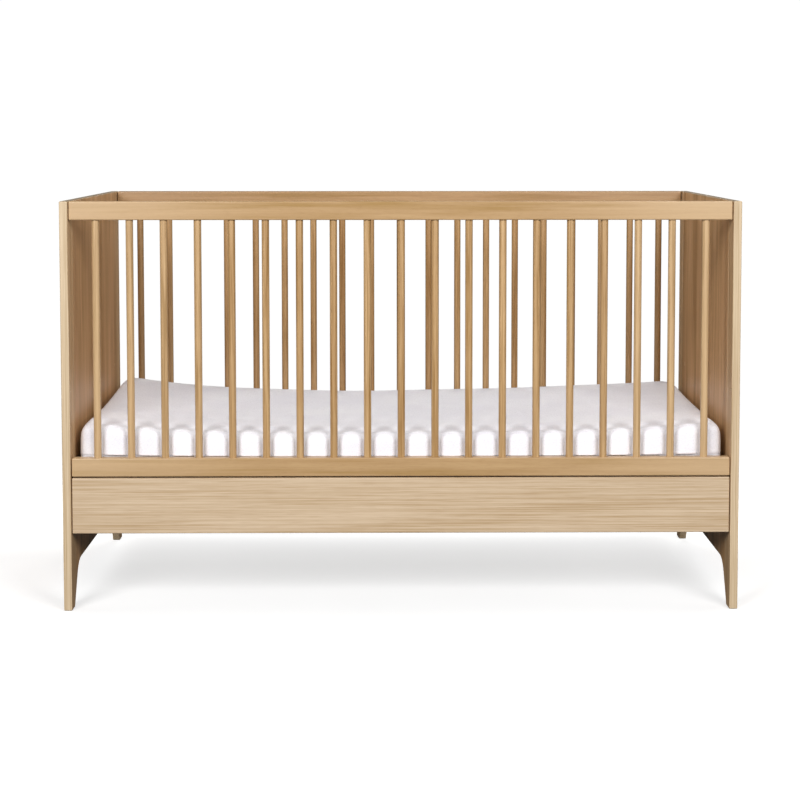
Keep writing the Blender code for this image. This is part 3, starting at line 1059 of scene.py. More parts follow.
@dataclass
class LongSide:
    """One long side: two rails with spindles between them, and an apron below.

    Attributes:
        side: The front or the back.
        inner_half_length: From the crib's middle to a panel's inner face.
        depth: The crib's depth.
        rail_size: The rails' thickness and height.
        rail_levels: The undersides of the bottom and top rail.
        rail_ease: The radius of the rails' edges.
        spindle_seat: How far a spindle goes into a rail.
        front_tones: The darkest and lightest spindle of the front.
        back_tones: The darkest and lightest spindle of the back, darker than the front's as painted shade.
        apron_size: The apron's thickness and height.
        apron_level: The apron's underside.
        apron_ease: The radius of the apron's edges.
        end_gap: The shadow gap between a panel and the end of a rail or the apron.
        nut_hole: The diameter of the barrel nut's hole and its distance from the rail's end.
        nut_reach: How far the barrel nut reaches below the bolt's axis, and its hole above it.
        cam: The cam's diameter, its pocket's depth and its distance from the apron's end.
    """

    side: Side
    inner_half_length: float = 0.707
    depth: float = 0.760
    rail_size: tuple[float, float] = (0.025, 0.040)
    rail_levels: tuple[float, float] = (0.290, 0.840)
    rail_ease: float = 0.0026
    spindle_seat: float = 0.012
    front_tones: tuple[float, float] = (0.90, 1.04)
    # The back's spindles are the same beech, painted darker: painted shade.
    back_tones: tuple[float, float] = (0.60, 0.86)
    apron_size: tuple[float, float] = (0.018, 0.120)
    apron_level: float = 0.167
    apron_ease: float = 0.0024
    end_gap: float = 0.0015
    nut_hole: tuple[float, float] = (0.0102, 0.026)
    nut_reach: tuple[float, float] = (0.008, 0.006)
    cam: tuple[float, float, float] = (0.015, 0.0125, 0.034)

    @property
    def outer_y(self) -> float:
        """The outer face of the rails and the apron."""
        return self.side.value * (self.depth / 2 - SIDE_SETBACK)

    @property
    def rail_y(self) -> float:
        """The middle of the rails' thickness, where the spindles stand."""
        return self.outer_y - self.side.value * self.rail_size[0] / 2

    @property
    def pitch(self) -> float:
        """From one spindle to the next."""
        return 2 * (self.inner_half_length - FIRST_SPINDLE_OFFSET) / (SPINDLES_PER_SIDE - 1)

    @property
    def first_spindle(self) -> float:
        """The first spindle's X."""
        return -(SPINDLES_PER_SIDE - 1) / 2 * self.pitch

    def board(self, name: str, size: tuple[float, float], level: float, ease: float) -> Object:
        """Makes a board from panel to panel, flush with the side's outer face.

        Args:
            name: The board's name.
            size: Its thickness and height.
            level: Its underside.
            ease: The radius of its edges.

        Returns:
            The board.
        """
        half = self.inner_half_length - self.end_gap
        inner = self.outer_y - self.side.value * size[0]
        corners = (-half, inner, level), (half, self.outer_y, level + size[1])
        return object_from(name, lambda bm: add_eased_box(bm, *corners, ease))

    def rail_holes(self, level: float, facing: int) -> list[Rod]:
        """The seats of the spindles and the holes of the barrel nuts.

        Args:
            level: The rail's underside.
            facing: 1 where the spindles enter from above, -1 from below.

        Returns:
            Cutting rods.
        """
        face = level + self.rail_size[1] if facing > 0 else level
        start, end = face - facing * (self.spindle_seat + FIT_GAP), face + facing * OVERRUN
        diameter = SPINDLE_DIAMETER + 2 * FIT_GAP
        found = []
        for index in range(SPINDLES_PER_SIDE):
            x = self.first_spindle + index * self.pitch
            found.append(((x, self.rail_y, start), (x, self.rail_y, end), diameter, ROUND_SIDES))
        nut_top = level + self.rail_size[1] / 2 + BOLT_RISE + self.nut_reach[1]
        for x in self.nut_places():
            bottom, top = (x, self.rail_y, level - OVERRUN), (x, self.rail_y, nut_top)
            found.append((bottom, top, self.nut_hole[0], ROUND_SIDES))
        return found

    def nut_places(self) -> tuple[float, float]:
        """The barrel nuts' X at both ends of a rail."""
        reach = self.inner_half_length - self.nut_hole[1]
        return (-reach, reach)

    def build_rails(self, shop: Workshop) -> None:
        """Makes the bottom and the top rail.

        Args:
            shop: The shared materials and trees.
        """
        for word, level, facing in zip(LEVELS, self.rail_levels, (1, -1)):
            name = f"{self.side.word}_{word}_rail"
            rail = self.board(f"{name}_eased", self.rail_size, level, self.rail_ease)
            rail = drilled(rail, self.rail_holes(level, facing))
            finished(shade(rail), shop.rail_beech[self.side], "frame", [name])

    def build_spindles(self, shop: Workshop) -> None:
        """Makes the spindles as copies of one turned blank.

        Args:
            shop: The shared materials and trees.
        """
        bottom = self.rail_levels[0] + self.rail_size[1] - self.spindle_seat
        top = self.rail_levels[1] + self.spindle_seat
        radius, chamfer = SPINDLE_DIAMETER / 2, 0.0012
        profile = [(0, bottom), (radius - chamfer, bottom), (radius, bottom + chamfer)]
        profile += [(radius, top - chamfer), (radius - chamfer, top), (0, top)]
        blank = turned("spindle_blank", profile, ROUND_SIDES)
        first, step = (self.first_spindle, self.rail_y, 0), (self.pitch, 0, 0)
        # The back's darker tones are painted shade.
        tones = self.front_tones if self.side is Side.FRONT else self.back_tones
        name, beech, seed = f"{self.side.word}_spindles", shop.spindle_beech, SEED + self.side.value
        spindles = shop.row(blank, name, SPINDLES_PER_SIDE, first, step, beech, tones, seed)
        nodes = [f"{self.side.word}_spindle_{number:02d}" for number in range(1, SPINDLES_PER_SIDE + 1)]
        finished(spindles, beech, "frame", nodes)

    def build_apron(self, shop: Workshop) -> None:
        """Makes the apron with the pockets of its cams.

        Args:
            shop: The shared materials and trees.
        """
        name = f"{self.side.word}_apron"
        apron = self.board(f"{name}_board", self.apron_size, self.apron_level, self.apron_ease)
        inner = self.outer_y - self.side.value * self.apron_size[0]
        diameter, pocket, _ = self.cam
        deep = inner + self.side.value * pocket
        rods = []
        for (x, _, z), _ in self.cam_places():
            mouth = (x, inner - self.side.value * OVERRUN, z)
            rods.append(((x, deep, z), mouth, diameter + FIT_GAP, ROUND_SIDES))
        finished(shade(drilled(apron, rods)), shop.apron_oak, "frame", [name])

    def cam_places(self) -> list[Place]:
        """The middles of the cams' faces, just below the apron's inner face, and the way they face.

        Returns:
            The place and the facing of each cam.
        """
        inner = self.outer_y - self.side.value * self.apron_size[0]
        reach = self.inner_half_length - self.cam[2]
        z = self.apron_level + self.apron_size[1] / 2
        y = inner + self.side.value * FIT_GAP
        return [((x, y, z), (0, -self.side.value, 0)) for x in (-reach, reach)]

    def barrel_nut_places(self) -> list[Place]:
        """The slotted faces of the barrel nuts, inside their holes, and the way they face.

        Returns:
            The place and the facing of each nut.
        """
        found = []
        for level in self.rail_levels:
            z = level + self.rail_size[1] / 2 + BOLT_RISE - self.nut_reach[0]
            found += [((x, self.rail_y, z), (0, 0, -1)) for x in self.nut_places()]
        return found

    def build(self, shop: Workshop) -> None:
        """Makes the rails, the spindles and the apron.

        Args:
            shop: The shared materials and trees.
        """
        self.build_rails(shop)
        self.build_spindles(shop)
        self.build_apron(shop)


# ---- Connectors that join the frame


@dataclass
class FrameHardware:
    """Bolts, barrel nuts, cams, inserts and caps, which ride on the frame.

    Attributes:
        panels: The end panels.
        sides: The long sides.
        head_diameter: The connector bolt's head.
        head_height: The head's height.
        shank_diameter: The bolt's shank.
        bolt_length: From the head's face to the tip.
        socket: The hexagon's width across flats and its depth.
    """

    panels: Sequence[EndPanel]
    sides: Sequence[LongSide]
    head_diameter: float = 0.012
    head_height: float = 0.003
    shank_diameter: float = 0.006
    bolt_length: float = 0.0503
    socket: tuple[float, float] = (0.004, 0.0018)

    def bolt_blank(self) -> Object:
        """A flat-headed bolt with a hexagonal socket, its head's face at z = 0.

        Returns:
            The blank.
        """
        head, shank = self.head_diameter / 2, self.shank_diameter / 2
        low, tip = -self.head_height, -self.bolt_length
        profile = [(0, 0), (head - 0.0006, 0), (head, -0.0006), (head, low), (shank, low)]
        profile += [(shank, tip + 0.001), (shank - 0.001, tip), (0, tip)]
        flats, depth = self.socket
        corners = flats / math.cos(math.pi / 6)
        # A hundredth of a millimetre off the axis, so that no corner of the socket falls on a seam of the head.
        aside = 1e-5
        key = ((aside, aside, -depth), (aside, aside, OVERRUN), corners, 6)
        # An odd number of sides, for the same reason.
        return shade(drilled(turned("connector_bolt", profile, 23), [key]))

    def bolt_places(self) -> list[Place]:
        """The middle of each connector bolt's face, and the way it faces.

        Returns:
            The place and the facing of each bolt.
        """
        found = []
        for panel in self.panels:
            for side in Side:
                for level in LEVELS:
                    middle = middle_of(bolt_node(level, side, panel.end))
                    found.append(((panel.outer_x, middle.y, middle.z), (panel.end.value, 0, 0)))
        return found

    def nut_blank(self) -> Object:
        """A barrel nut, its slotted face at z = 0 and its far end below.

        Returns:
            The blank.
        """
        radius = 0.005
        profile = [(0, -0.001), (0.0016, -0.001), (0.0022, 0), (radius - 0.0005, 0), (radius, -0.0005)]
        profile += [(radius, -0.0135), (radius - 0.0005, -0.014), (0, -0.014)]
        return turned("barrel_nut", profile, 20)

    def cam_blank(self) -> Object:
        """A cam's face with a cross-shaped key slot, its face at z = 0.

        Returns:
            The blank.
        """
        radius = self.sides[0].cam[0] / 2
        profile = [(0, 0), (radius - 0.0006, 0), (radius, -0.0006), (radius, -0.0118), (0, -0.0118)]
        reach, width = 0.0042, 0.0030
        disc = drilled(turned("cam", profile, 24), [((-reach, 0, 0.0002), (reach, 0, 0.0002), width, 4)])
        return shade(drilled(disc, [((0, -reach, -0.0001), (0, reach, -0.0001), width, 4)]))

    def insert_blank(self) -> Object:
        """A threaded insert: a sleeve, its rim just below z = 0.

        Returns:
            The blank.
        """
        outer, bore = 0.0039, 0.0030
        profile = [(0, -0.011), (bore, -0.011), (bore, -0.0012), (bore + 0.0005, -0.0007), (outer, -0.0007)]
        profile += [(outer, -0.0115), (0, -0.0115)]
        return turned("threaded_insert", profile, 20)

    def cap_blank(self) -> Object:
        """A push-in cap, its low dome flush with z = 0."""
        profile = [(0, 0.0001), (0.0024, 0.0), (0.0034, -0.0002), (0.0038, -0.0006), (0.0036, -0.0010)]
        return turned("hole_cap", [*profile, (0.0028, -0.0010), (0, -0.0010)], 20)

    def build(self, shop: Workshop) -> None:
        """Makes every connector of the frame.

        Args:
            shop: The shared materials and trees.
        """
        nodes = [bolt_node(level, side, end) for end in End for side in Side for level in LEVELS]
        places = self.bolt_places()
        shop.fasten(self.bolt_blank(), "connector_bolts", places, shop.zinc, "frame", replaced=nodes)
        nuts = [place for side in self.sides for place in side.barrel_nut_places()]
        shop.fasten(self.nut_blank(), "barrel_nuts", nuts, shop.zinc, "frame")
        cams = [place for side in self.sides for place in side.cam_places()]
        shop.fasten(self.cam_blank(), "cam_connectors", cams, shop.cast_zinc, "frame")
        inserts = [place for panel in self.panels for place in panel.insert_places()]
        shop.fasten(self.insert_blank(), "threaded_inserts", inserts, shop.zinc, "frame")
        used = min(self.panels[0].insert_levels)
        spare = [(place, facing) for place, facing in inserts if place[2] > used]
        shop.fasten(self.cap_blank(), "hole_caps", spare, shop.cap, "frame")


# ---- Slatted base


@dataclass
class SlattedBase:
    """A pine frame with slats screwed to ledges inside it, on four steel angles.

    Attributes:
        frame_width: The width of the frame's rails.
        slat_count: How many slats.
        slat_size: A slat's width and thickness.
        ledge: The ledge's width and height, under the slats' ends.
        ease: The radius of the rails' edges.
        slat_ease: The radius of the slats' edges.
        ledge_ease: The radius of the ledges' edges.
        slat_tones: The darkest and lightest slat.
        screw_offset: A slat's screws stand this far from its middle line.
        slat_screw: The head's diameter and height of a slat's screw, which is sunk.
        angle_bolt: The same of the bolt from an angle into a panel.
        angle_screw: The same of the screw from an angle up into the frame.
        angle_wall: The angles' thickness.
        angle_drop: The distance of the angles' holes from their outer corner.
    """

    frame_width: float = 0.025
    slat_count: int = 13
    slat_size: tuple[float, float] = (0.060, 0.012)
    ledge: tuple[float, float] = (0.018, 0.020)
    ease: float = 0.0016
    slat_ease: float = 0.0015
    ledge_ease: float = 0.001
    slat_tones: tuple[float, float] = (0.92, 1.05)
    screw_offset: float = 0.017
    slat_screw: tuple[float, float] = (0.0070, 0.0)
    angle_bolt: tuple[float, float] = (0.0115, 0.0032)
    angle_screw: tuple[float, float] = (0.0095, 0.0024)
    angle_wall: float = 0.002
    angle_drop: float = 0.021

    def add_frame(self, bm: Mesh) -> None:
        """Adds two long rails, two end rails between them, and the ledges.

        Args:
            bm: The mesh that it is added to.
        """
        low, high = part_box("slatted_base")
        width, gap = self.frame_width, FIT_GAP
        ledge_top = high.z - self.slat_size[1] - gap
        for side in Side:
            outer, inner = side.value * high.y, side.value * (high.y - width)
            add_eased_box(bm, (low.x, outer, low.z), (high.x, inner, high.z), self.ease)
            near, far = inner - side.value * gap, inner - side.value * self.ledge[0]
            reach = high.x - width - 2 * gap
            add_eased_box(bm, (-reach, near, ledge_top - self.ledge[1]), (reach, far, ledge_top), self.ledge_ease, 2)
        for end in End:
            outer, inner = end.value * high.x, end.value * (high.x - width)
            reach = high.y - width - gap
            add_eased_box(bm, (outer, -reach, low.z), (inner, reach, high.z), self.ease)

    def build_slats(self, shop: Workshop) -> tuple[float, float]:
        """Makes the slats as copies of one board.

        Args:
            shop: The shared materials and trees.

        Returns:
            The first slat's X and the step to the next.
        """
        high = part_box("slatted_base")[1]
        inside = 2 * (high.x - self.frame_width)
        width, thickness = self.slat_size
        gap = (inside - self.slat_count * width) / (self.slat_count + 1)
        reach = high.y - self.frame_width - FIT_GAP
        corners = (-width / 2, -reach, high.z - thickness), (width / 2, reach, high.z)
        blank = shade(object_from("slat_blank", lambda bm: add_eased_box(bm, *corners, self.slat_ease)))
        first, step = -inside / 2 + gap + width / 2, gap + width
        pine, count = shop.slat_pine, self.slat_count
        slats = shop.row(blank, "slats", count, (first, 0, 0), (step, 0, 0), pine, self.slat_tones)
        finished(slats, pine, "base")
        return first, step

    def screw_blank(self, head: float, height: float) -> Object:
        """A screw's head with a round-bottomed recess, and the start of its shank.

        Args:
            head: The head's diameter.
            height: How far its rim stands above z = 0. A sunk head has 0.

        Returns:
            The blank.
        """
        r = head / 2
        profile = [(0, height - 0.0012), (r * 0.22, height - 0.0010), (r * 0.36, height), (r * 0.7, height)]
        profile += [(r, height * 0.45), (r, 0.0 if height else -0.0004), (r * 0.45, -r * 0.9), (0, -r * 0.9)]
        return turned("screw", profile, SMALL_ROUND_SIDES)

    def build_fittings(self, shop: Workshop, first: float, step: float) -> None:
        """Makes the slats' screws and the bolts and screws of the angles.

        Args:
            shop: The shared materials and trees.
            first: The first slat's X.
            step: From one slat to the next.
        """
        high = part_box("slatted_base")[1]
        reach = high.y - self.frame_width - self.ledge[0] / 2
        sunk = [
            ((first + index * step + offset, side.value * reach, high.z + 0.00005), (0, 0, 1))
            for index in range(self.slat_count)
            for side in Side
            for offset in (-self.screw_offset, self.screw_offset)
        ]
        shop.fasten(self.screw_blank(*self.slat_screw), "slat_screws", sunk, shop.zinc, "base")
        bolts, lifts = [], []
        for end in End:
            for side in Side:
                corner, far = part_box(f"base_angle_{side.word}_{end.word}")
                y = (corner.y + far.y) / 2
                outer = far.x if end is End.RIGHT else corner.x
                z = far.z - self.angle_drop
                bolts.append(((outer - end.value * self.angle_wall, y, z), (-end.value, 0, 0)))
                lifts.append(((outer - end.value * self.angle_drop, y, far.z - self.angle_wall), (0, 0, -1)))
        shop.fasten(self.screw_blank(*self.angle_bolt), "angle_bolts", bolts, shop.zinc, "base")
        shop.fasten(self.screw_blank(*self.angle_screw), "angle_screws", lifts, shop.zinc, "base")

    def dress_angles(self, shop: Workshop) -> None:
        """Gives the CAD angles their zinc plate.

        Args:
            shop: The shared materials and trees.
        """
        for side in Side:
            for end in End:
                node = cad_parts[f"base_angle_{side.word}_{end.word}"]
                node.data.materials.clear()
                node.data.materials.append(shop.zinc)

    def build(self, shop: Workshop) -> None:
        """Makes the frame, the slats and their fittings.

        Args:
            shop: The shared materials and trees.
        """
        base = shade(object_from("base_frame", self.add_frame))
        finished(base, shop.base_pine, "base", ["slatted_base"])
        first, step = self.build_slats(shop)
        self.build_fittings(shop, first, step)
        self.dress_angles(shop)


# ---- Mattress and sheet


def smooth(values: np.ndarray, start: float, end: float) -> np.ndarray:
    """A smooth step from 0 at start to 1 at end.

    Args:
        values: Any numbers.
        start: Where the step begins.
        end: Where it ends, which may be below start.

    Returns:
        Numbers from 0 to 1.
    """
    t = np.clip((values - start) / (end - start), 0, 1)
    return t * t * (3 - 2 * t)


def stations(start: float, *runs: tuple[float, float]) -> np.ndarray:
    """Places along an axis, run by run.

    Args:
        start: The first place.
        *runs: For each run, where it ends and its spacing.

    Returns:
        The places, in order.
    """
    places = [start]
    for end, step in runs:
        count = max(1, round((end - places[-1]) / step))
        places += list(np.linspace(places[-1], end, count + 1)[1:])
    return np.array(places)


def bowed(t: np.ndarray) -> np.ndarray:
    """A quarter of an ellipse's fall, from 0 at 0 to 1 at 1."""
    return 1 - np.sqrt(1 - np.clip(t, 0, 1) ** 2)


@dataclass
class PadForm:
    """The rounded block of a soft pad, swollen between the spindles and sagging in its middle.

    Attributes:
        half: Half its length, depth and height.
        centre_z: The height of its middle.
        radius: The radius of its top and bottom edges.
        corner_radius: The radius of its four upright corners.
        middle_drop: How far the top's middle lies below the block's top.
        corner_lifts: For each corner, its signs along X and Y, its lift, and how closely the lift keeps to it.
        shoulder: How far the top falls along its long edges, and over what width.
        end_fall: How far the top falls at both ends, and over what length.
        end_lean: How far the end walls lean in at their tops, and from what height up.
        swell: How far the cloth stands out in a gap between two spindles.
        bed: How far it stands out over the whole wall above the bottom rail.
        crease: The depth and half-width of the fold round each swelling.
        swell_rise: How far outside its edge the swelling starts to rise, and the width of the rise.
        swell_half_width: Half the swelling's width, and the radius of its round top.
        swell_top: Where the swelling ends, along the cloth from the wall upwards.
        rail_top: The top of the bottom rail, below which the wall stays flat.
        pitch: The spindles' spacing.
        spindles: How many spindles there are.
        soft: How much the cloth's slack undulates.
    """

    half: tuple[float, float, float]
    centre_z: float
    radius: float = 0.016
    corner_radius: float = 0.032
    middle_drop: float = 0.005
    corner_lifts: tuple[tuple[int, int, float, float], ...] = (
        (-1, 1, 0.042, 5.6), (1, 1, 0.029, 3.2), (-1, -1, 0.024, 6.5), (1, -1, 0.024, 6.0),
    )
    shoulder: tuple[float, float] = (0.004, 0.085)
    end_fall: tuple[float, float] = (0.012, 0.046)
    end_lean: tuple[float, float] = (0.005, 0.338)
    swell: float = 0.0054
    bed: float = 0.0010
    crease: tuple[float, float] = (0.0008, 0.0036)
    swell_rise: tuple[float, float] = (0.001, 0.0145)
    swell_half_width: float = 0.0255
    swell_top: float = 0.0175
    rail_top: float = 0.330
    pitch: float = 0.0723
    spindles: int = SPINDLES_PER_SIDE
    soft: float = 1.0

    def rounded(self, points: np.ndarray) -> tuple[np.ndarray, np.ndarray]:
        """Rounds points of the plain block.

        Args:
            points: Points on the block's surface, from its middle.

        Returns:
            The rounded points, and the way that each faces.
        """
        half = np.array(self.half)
        plan = points[:, :2]
        core = np.clip(plan, -(half[:2] - self.corner_radius), half[:2] - self.corner_radius)
        away = plan - core
        length = np.maximum(np.linalg.norm(away, axis=1), 1e-9)
        way = away / length[:, None]
        reach = np.abs(away).max(axis=1)
        over = np.maximum(reach - (self.corner_radius - self.radius), 0)
        up = np.maximum(np.abs(points[:, 2]) - (half[2] - self.radius), 0)
        slant = np.maximum(np.hypot(over, up), 1e-9) / self.radius
        both = (over > 0) & (up > 0)
        out, rise = np.where(both, over / slant, over), np.where(both, up / slant, up)
        reach = np.where(over > 0, self.corner_radius - self.radius + out, reach)
        height = np.where(up > 0, half[2] - self.radius + rise, np.abs(points[:, 2]))
        sign = np.sign(points[:, 2])
        place = np.column_stack([core + way * reach[:, None], sign * height])
        facing = np.column_stack([way * (out / self.radius)[:, None], sign * rise / self.radius])
        facing /= np.maximum(np.linalg.norm(facing, axis=1, keepdims=True), 1e-9)
        return place, facing

    def top_offset(self, x: np.ndarray, y: np.ndarray) -> np.ndarray:
        """How far the top lies above the block's top.

        Args:
            x: Places along the pad.
            y: Places across it.

        Returns:
            The offsets.
        """
        a, b = x / self.half[0], y / self.half[1]
        offset = np.full_like(x, -self.middle_drop)
        for sign_x, sign_y, lift, closeness in self.corner_lifts:
            near_x = np.clip((1 + sign_x * a) / 2, 0, 1) ** closeness
            near_y = np.clip((1 + sign_y * b) / 2, 0, 1) ** 1.5
            offset += lift * near_x * near_y
        drop, width = self.shoulder
        offset += drop * (smooth(self.half[1] - np.abs(y), 0.0, width) - 0.6)
        fall, length = self.end_fall
        offset -= fall * bowed((np.abs(x) - self.half[0] + length) / length)
        slack = 0.0011 * np.sin(5.1 * x + 7.3 * y + 0.4) * np.cos(9.7 * y - 3.3 * x)
        slack += 0.0006 * np.sin(17.0 * x - 9.0 * y) * np.sin(13.0 * y + 1.0)
        return offset + self.soft * slack

    def swelling(self, x: np.ndarray, along: np.ndarray) -> np.ndarray:
        """How far the long walls swell between the spindles.

        Args:
            x: Places along the pad.
            along: Places along the cloth, from the floor up the wall and over its edge.

        Returns:
            Distances outwards.
        """
        half_cell = 0.5 if self.spindles % 2 else 0.0
        cell = x / self.pitch - half_cell
        from_middle = (cell - np.round(cell)) * self.pitch
        index = np.abs(np.round(cell) + half_cell)
        inside = smooth(index, self.spindles / 2 + 0.2, self.spindles / 2 - 0.6)
        top = self.centre_z + self.half[2] - self.radius + self.swell_top
        radius = self.swell_half_width
        reach = np.hypot(from_middle, np.maximum(along - (top - radius), 0))
        depth_in = radius - reach
        start, width = self.swell_rise
        share = np.clip((depth_in + start) / width, 0, 1)
        pillow = 0.35 * share**2 * (3 - 2 * share) + 0.65 * np.sin(share * math.pi / 2)
        depth, breadth = self.crease
        fold = np.exp(-(((depth_in + start) / breadth) ** 2))
        fold *= 0.25 + 0.75 * smooth(along, top - 0.030, top - 0.006)
        return inside * (self.swell * pillow - depth * fold)

    def shaped(self, points: np.ndarray) -> np.ndarray:
        """Gives points of the plain block their place on the finished pad.

        Args:
            points: Points on the block's surface, from its middle.

        Returns:
            The finished points.
        """
        place, facing = self.rounded(points)
        x, y = place[:, 0], place[:, 1]
        wall_top = self.centre_z + self.half[2] - self.radius
        height = place[:, 2] + self.centre_z
        lean = np.arctan2(np.maximum(facing[:, 2], 0), np.maximum(np.abs(facing[:, 1]), 1e-9))
        over = np.maximum(self.half[1] - self.radius - np.abs(y), 0)
        along = np.where(height < wall_top, height, wall_top + self.radius * lean + over)
        on_side = smooth(np.abs(facing[:, 1]), 0.05, 0.40) * smooth(np.abs(y), 0.9 * self.half[1], 0.94 * self.half[1])
        clear = smooth(height, self.rail_top + 0.0001, self.rail_top + 0.0014)
        bed = self.bed * smooth(np.abs(x), self.half[0], self.half[0] - 0.03) * on_side
        push = clear * (on_side * self.swelling(x, along) + bed * smooth(along, wall_top + 0.02, wall_top - 0.02))
        out = facing * (1, 1, 0.3)
        out /= np.maximum(np.linalg.norm(out, axis=1, keepdims=True), 1e-9)
        moved = place + out * push[:, None]
        rise = smooth(height, self.centre_z - self.half[2] * 0.2, self.centre_z + self.half[2])
        moved[:, 2] += self.centre_z + rise * self.top_offset(x, y)
        inward, start = self.end_lean
        leaning = bowed((height - start) / (self.centre_z + self.half[2] - start))
        near_end = smooth(np.abs(x), self.half[0] - 0.09, self.half[0] - 0.01)
        moved[:, 0] -= np.sign(x) * inward * leaning * near_end
        return moved


def grid_faces(rows: int, columns: int, turned_over: bool) -> list[tuple[int, int, int, int]]:
    """The quads of a grid of points, row by row.

    Args:
        rows: Rows of points.
        columns: Points in a row.
        turned_over: Whether the faces look the other way.

    Returns:
        Indices of each face's corners.
    """
    faces = []
    for row in range(rows - 1):
        for column in range(columns - 1):
            first = row * columns + column
            quad = (first, first + 1, first + columns + 1, first + columns)
            faces.append(quad[::-1] if turned_over else quad)
    return faces


def block_mesh(
    name: str, form: PadForm, along: tuple[np.ndarray, np.ndarray, np.ndarray], open_inset: float | None
) -> Object:
    """Builds the pad's skin as grids on its six faces.

    Args:
        name: The object's name.
        form: The pad's form.
        along: The grid's places along X, Y and Z, from the pad's middle.
        open_inset: How far a tuck reaches in under the pad, or None for a closed underside.

    Returns:
        The smooth-shaded skin.
    """
    xs, ys, zs = along
    half_x, half_y, half_z = form.half
    grids: list[tuple[np.ndarray, int, int, bool]] = []

    def add_grid(rows: np.ndarray, columns: np.ndarray, place: Callable[..., tuple], over: bool) -> None:
        """Adds the grid of two ranges, put in place by a function of both.

        Args:
            rows: Places along the rows.
            columns: Places along the columns.
            place: Puts both in place on the block.
            over: Whether the faces look the other way.
        """
        r, c = np.meshgrid(rows, columns, indexing="ij")
        points = np.stack([np.broadcast_to(v, r.shape).ravel() for v in place(r, c)], axis=1).astype(float)
        grids.append((points, len(rows), len(columns), over))

    add_grid(ys, xs, lambda r, c: (c, r, half_z), False)
    for sign in (-1, 1):
        add_grid(zs, xs, lambda r, c, s=sign: (c, s * half_y, r), sign > 0)
        add_grid(zs, ys, lambda r, c, s=sign: (s * half_x, c, r), sign < 0)
    if open_inset is None:
        add_grid(ys, xs, lambda r, c: (c, r, -half_z), True)
    else:
        edge_x = xs[np.abs(xs) <= half_x - open_inset + 1e-6]
        edge_y_low = ys[ys <= -half_y + open_inset + 1e-6]
        for sign in (-1, 1):
            add_grid(np.sort(-sign * edge_y_low), xs, lambda r, c: (c, r, -half_z), True)
            side_y = ys[(ys >= edge_y_low.max() - 1e-6) & (ys <= -edge_y_low.max() + 1e-6)]
            tuck_x = np.sort(sign * xs[xs >= edge_x.max() - 1e-6])
            add_grid(side_y, tuck_x, lambda r, c: (c, r, -half_z), True)
    vertices, faces, start = [], [], 0
    for points, rows, columns, over in grids:
        vertices.append(points)
        faces += [tuple(i + start for i in quad) for quad in grid_faces(rows, columns, over)]
        start += len(points)
    block = np.concatenate(vertices)
    mesh = bpy.data.meshes.new(name)
    mesh.from_pydata(block.tolist(), [], faces)
    bm = bmesh.new()
    bm.from_mesh(mesh)
    bmesh.ops.remove_doubles(bm, verts=bm.verts, dist=WELD)
    bm.to_mesh(mesh)
    bm.free()
    welded = np.empty(len(mesh.vertices) * 3)
    mesh.vertices.foreach_get("co", welded)
    mesh.vertices.foreach_set("co", form.shaped(welded.reshape(-1, 3)).ravel())
    mesh.update()
    mesh.shade_smooth()
    return new_object(name, mesh)


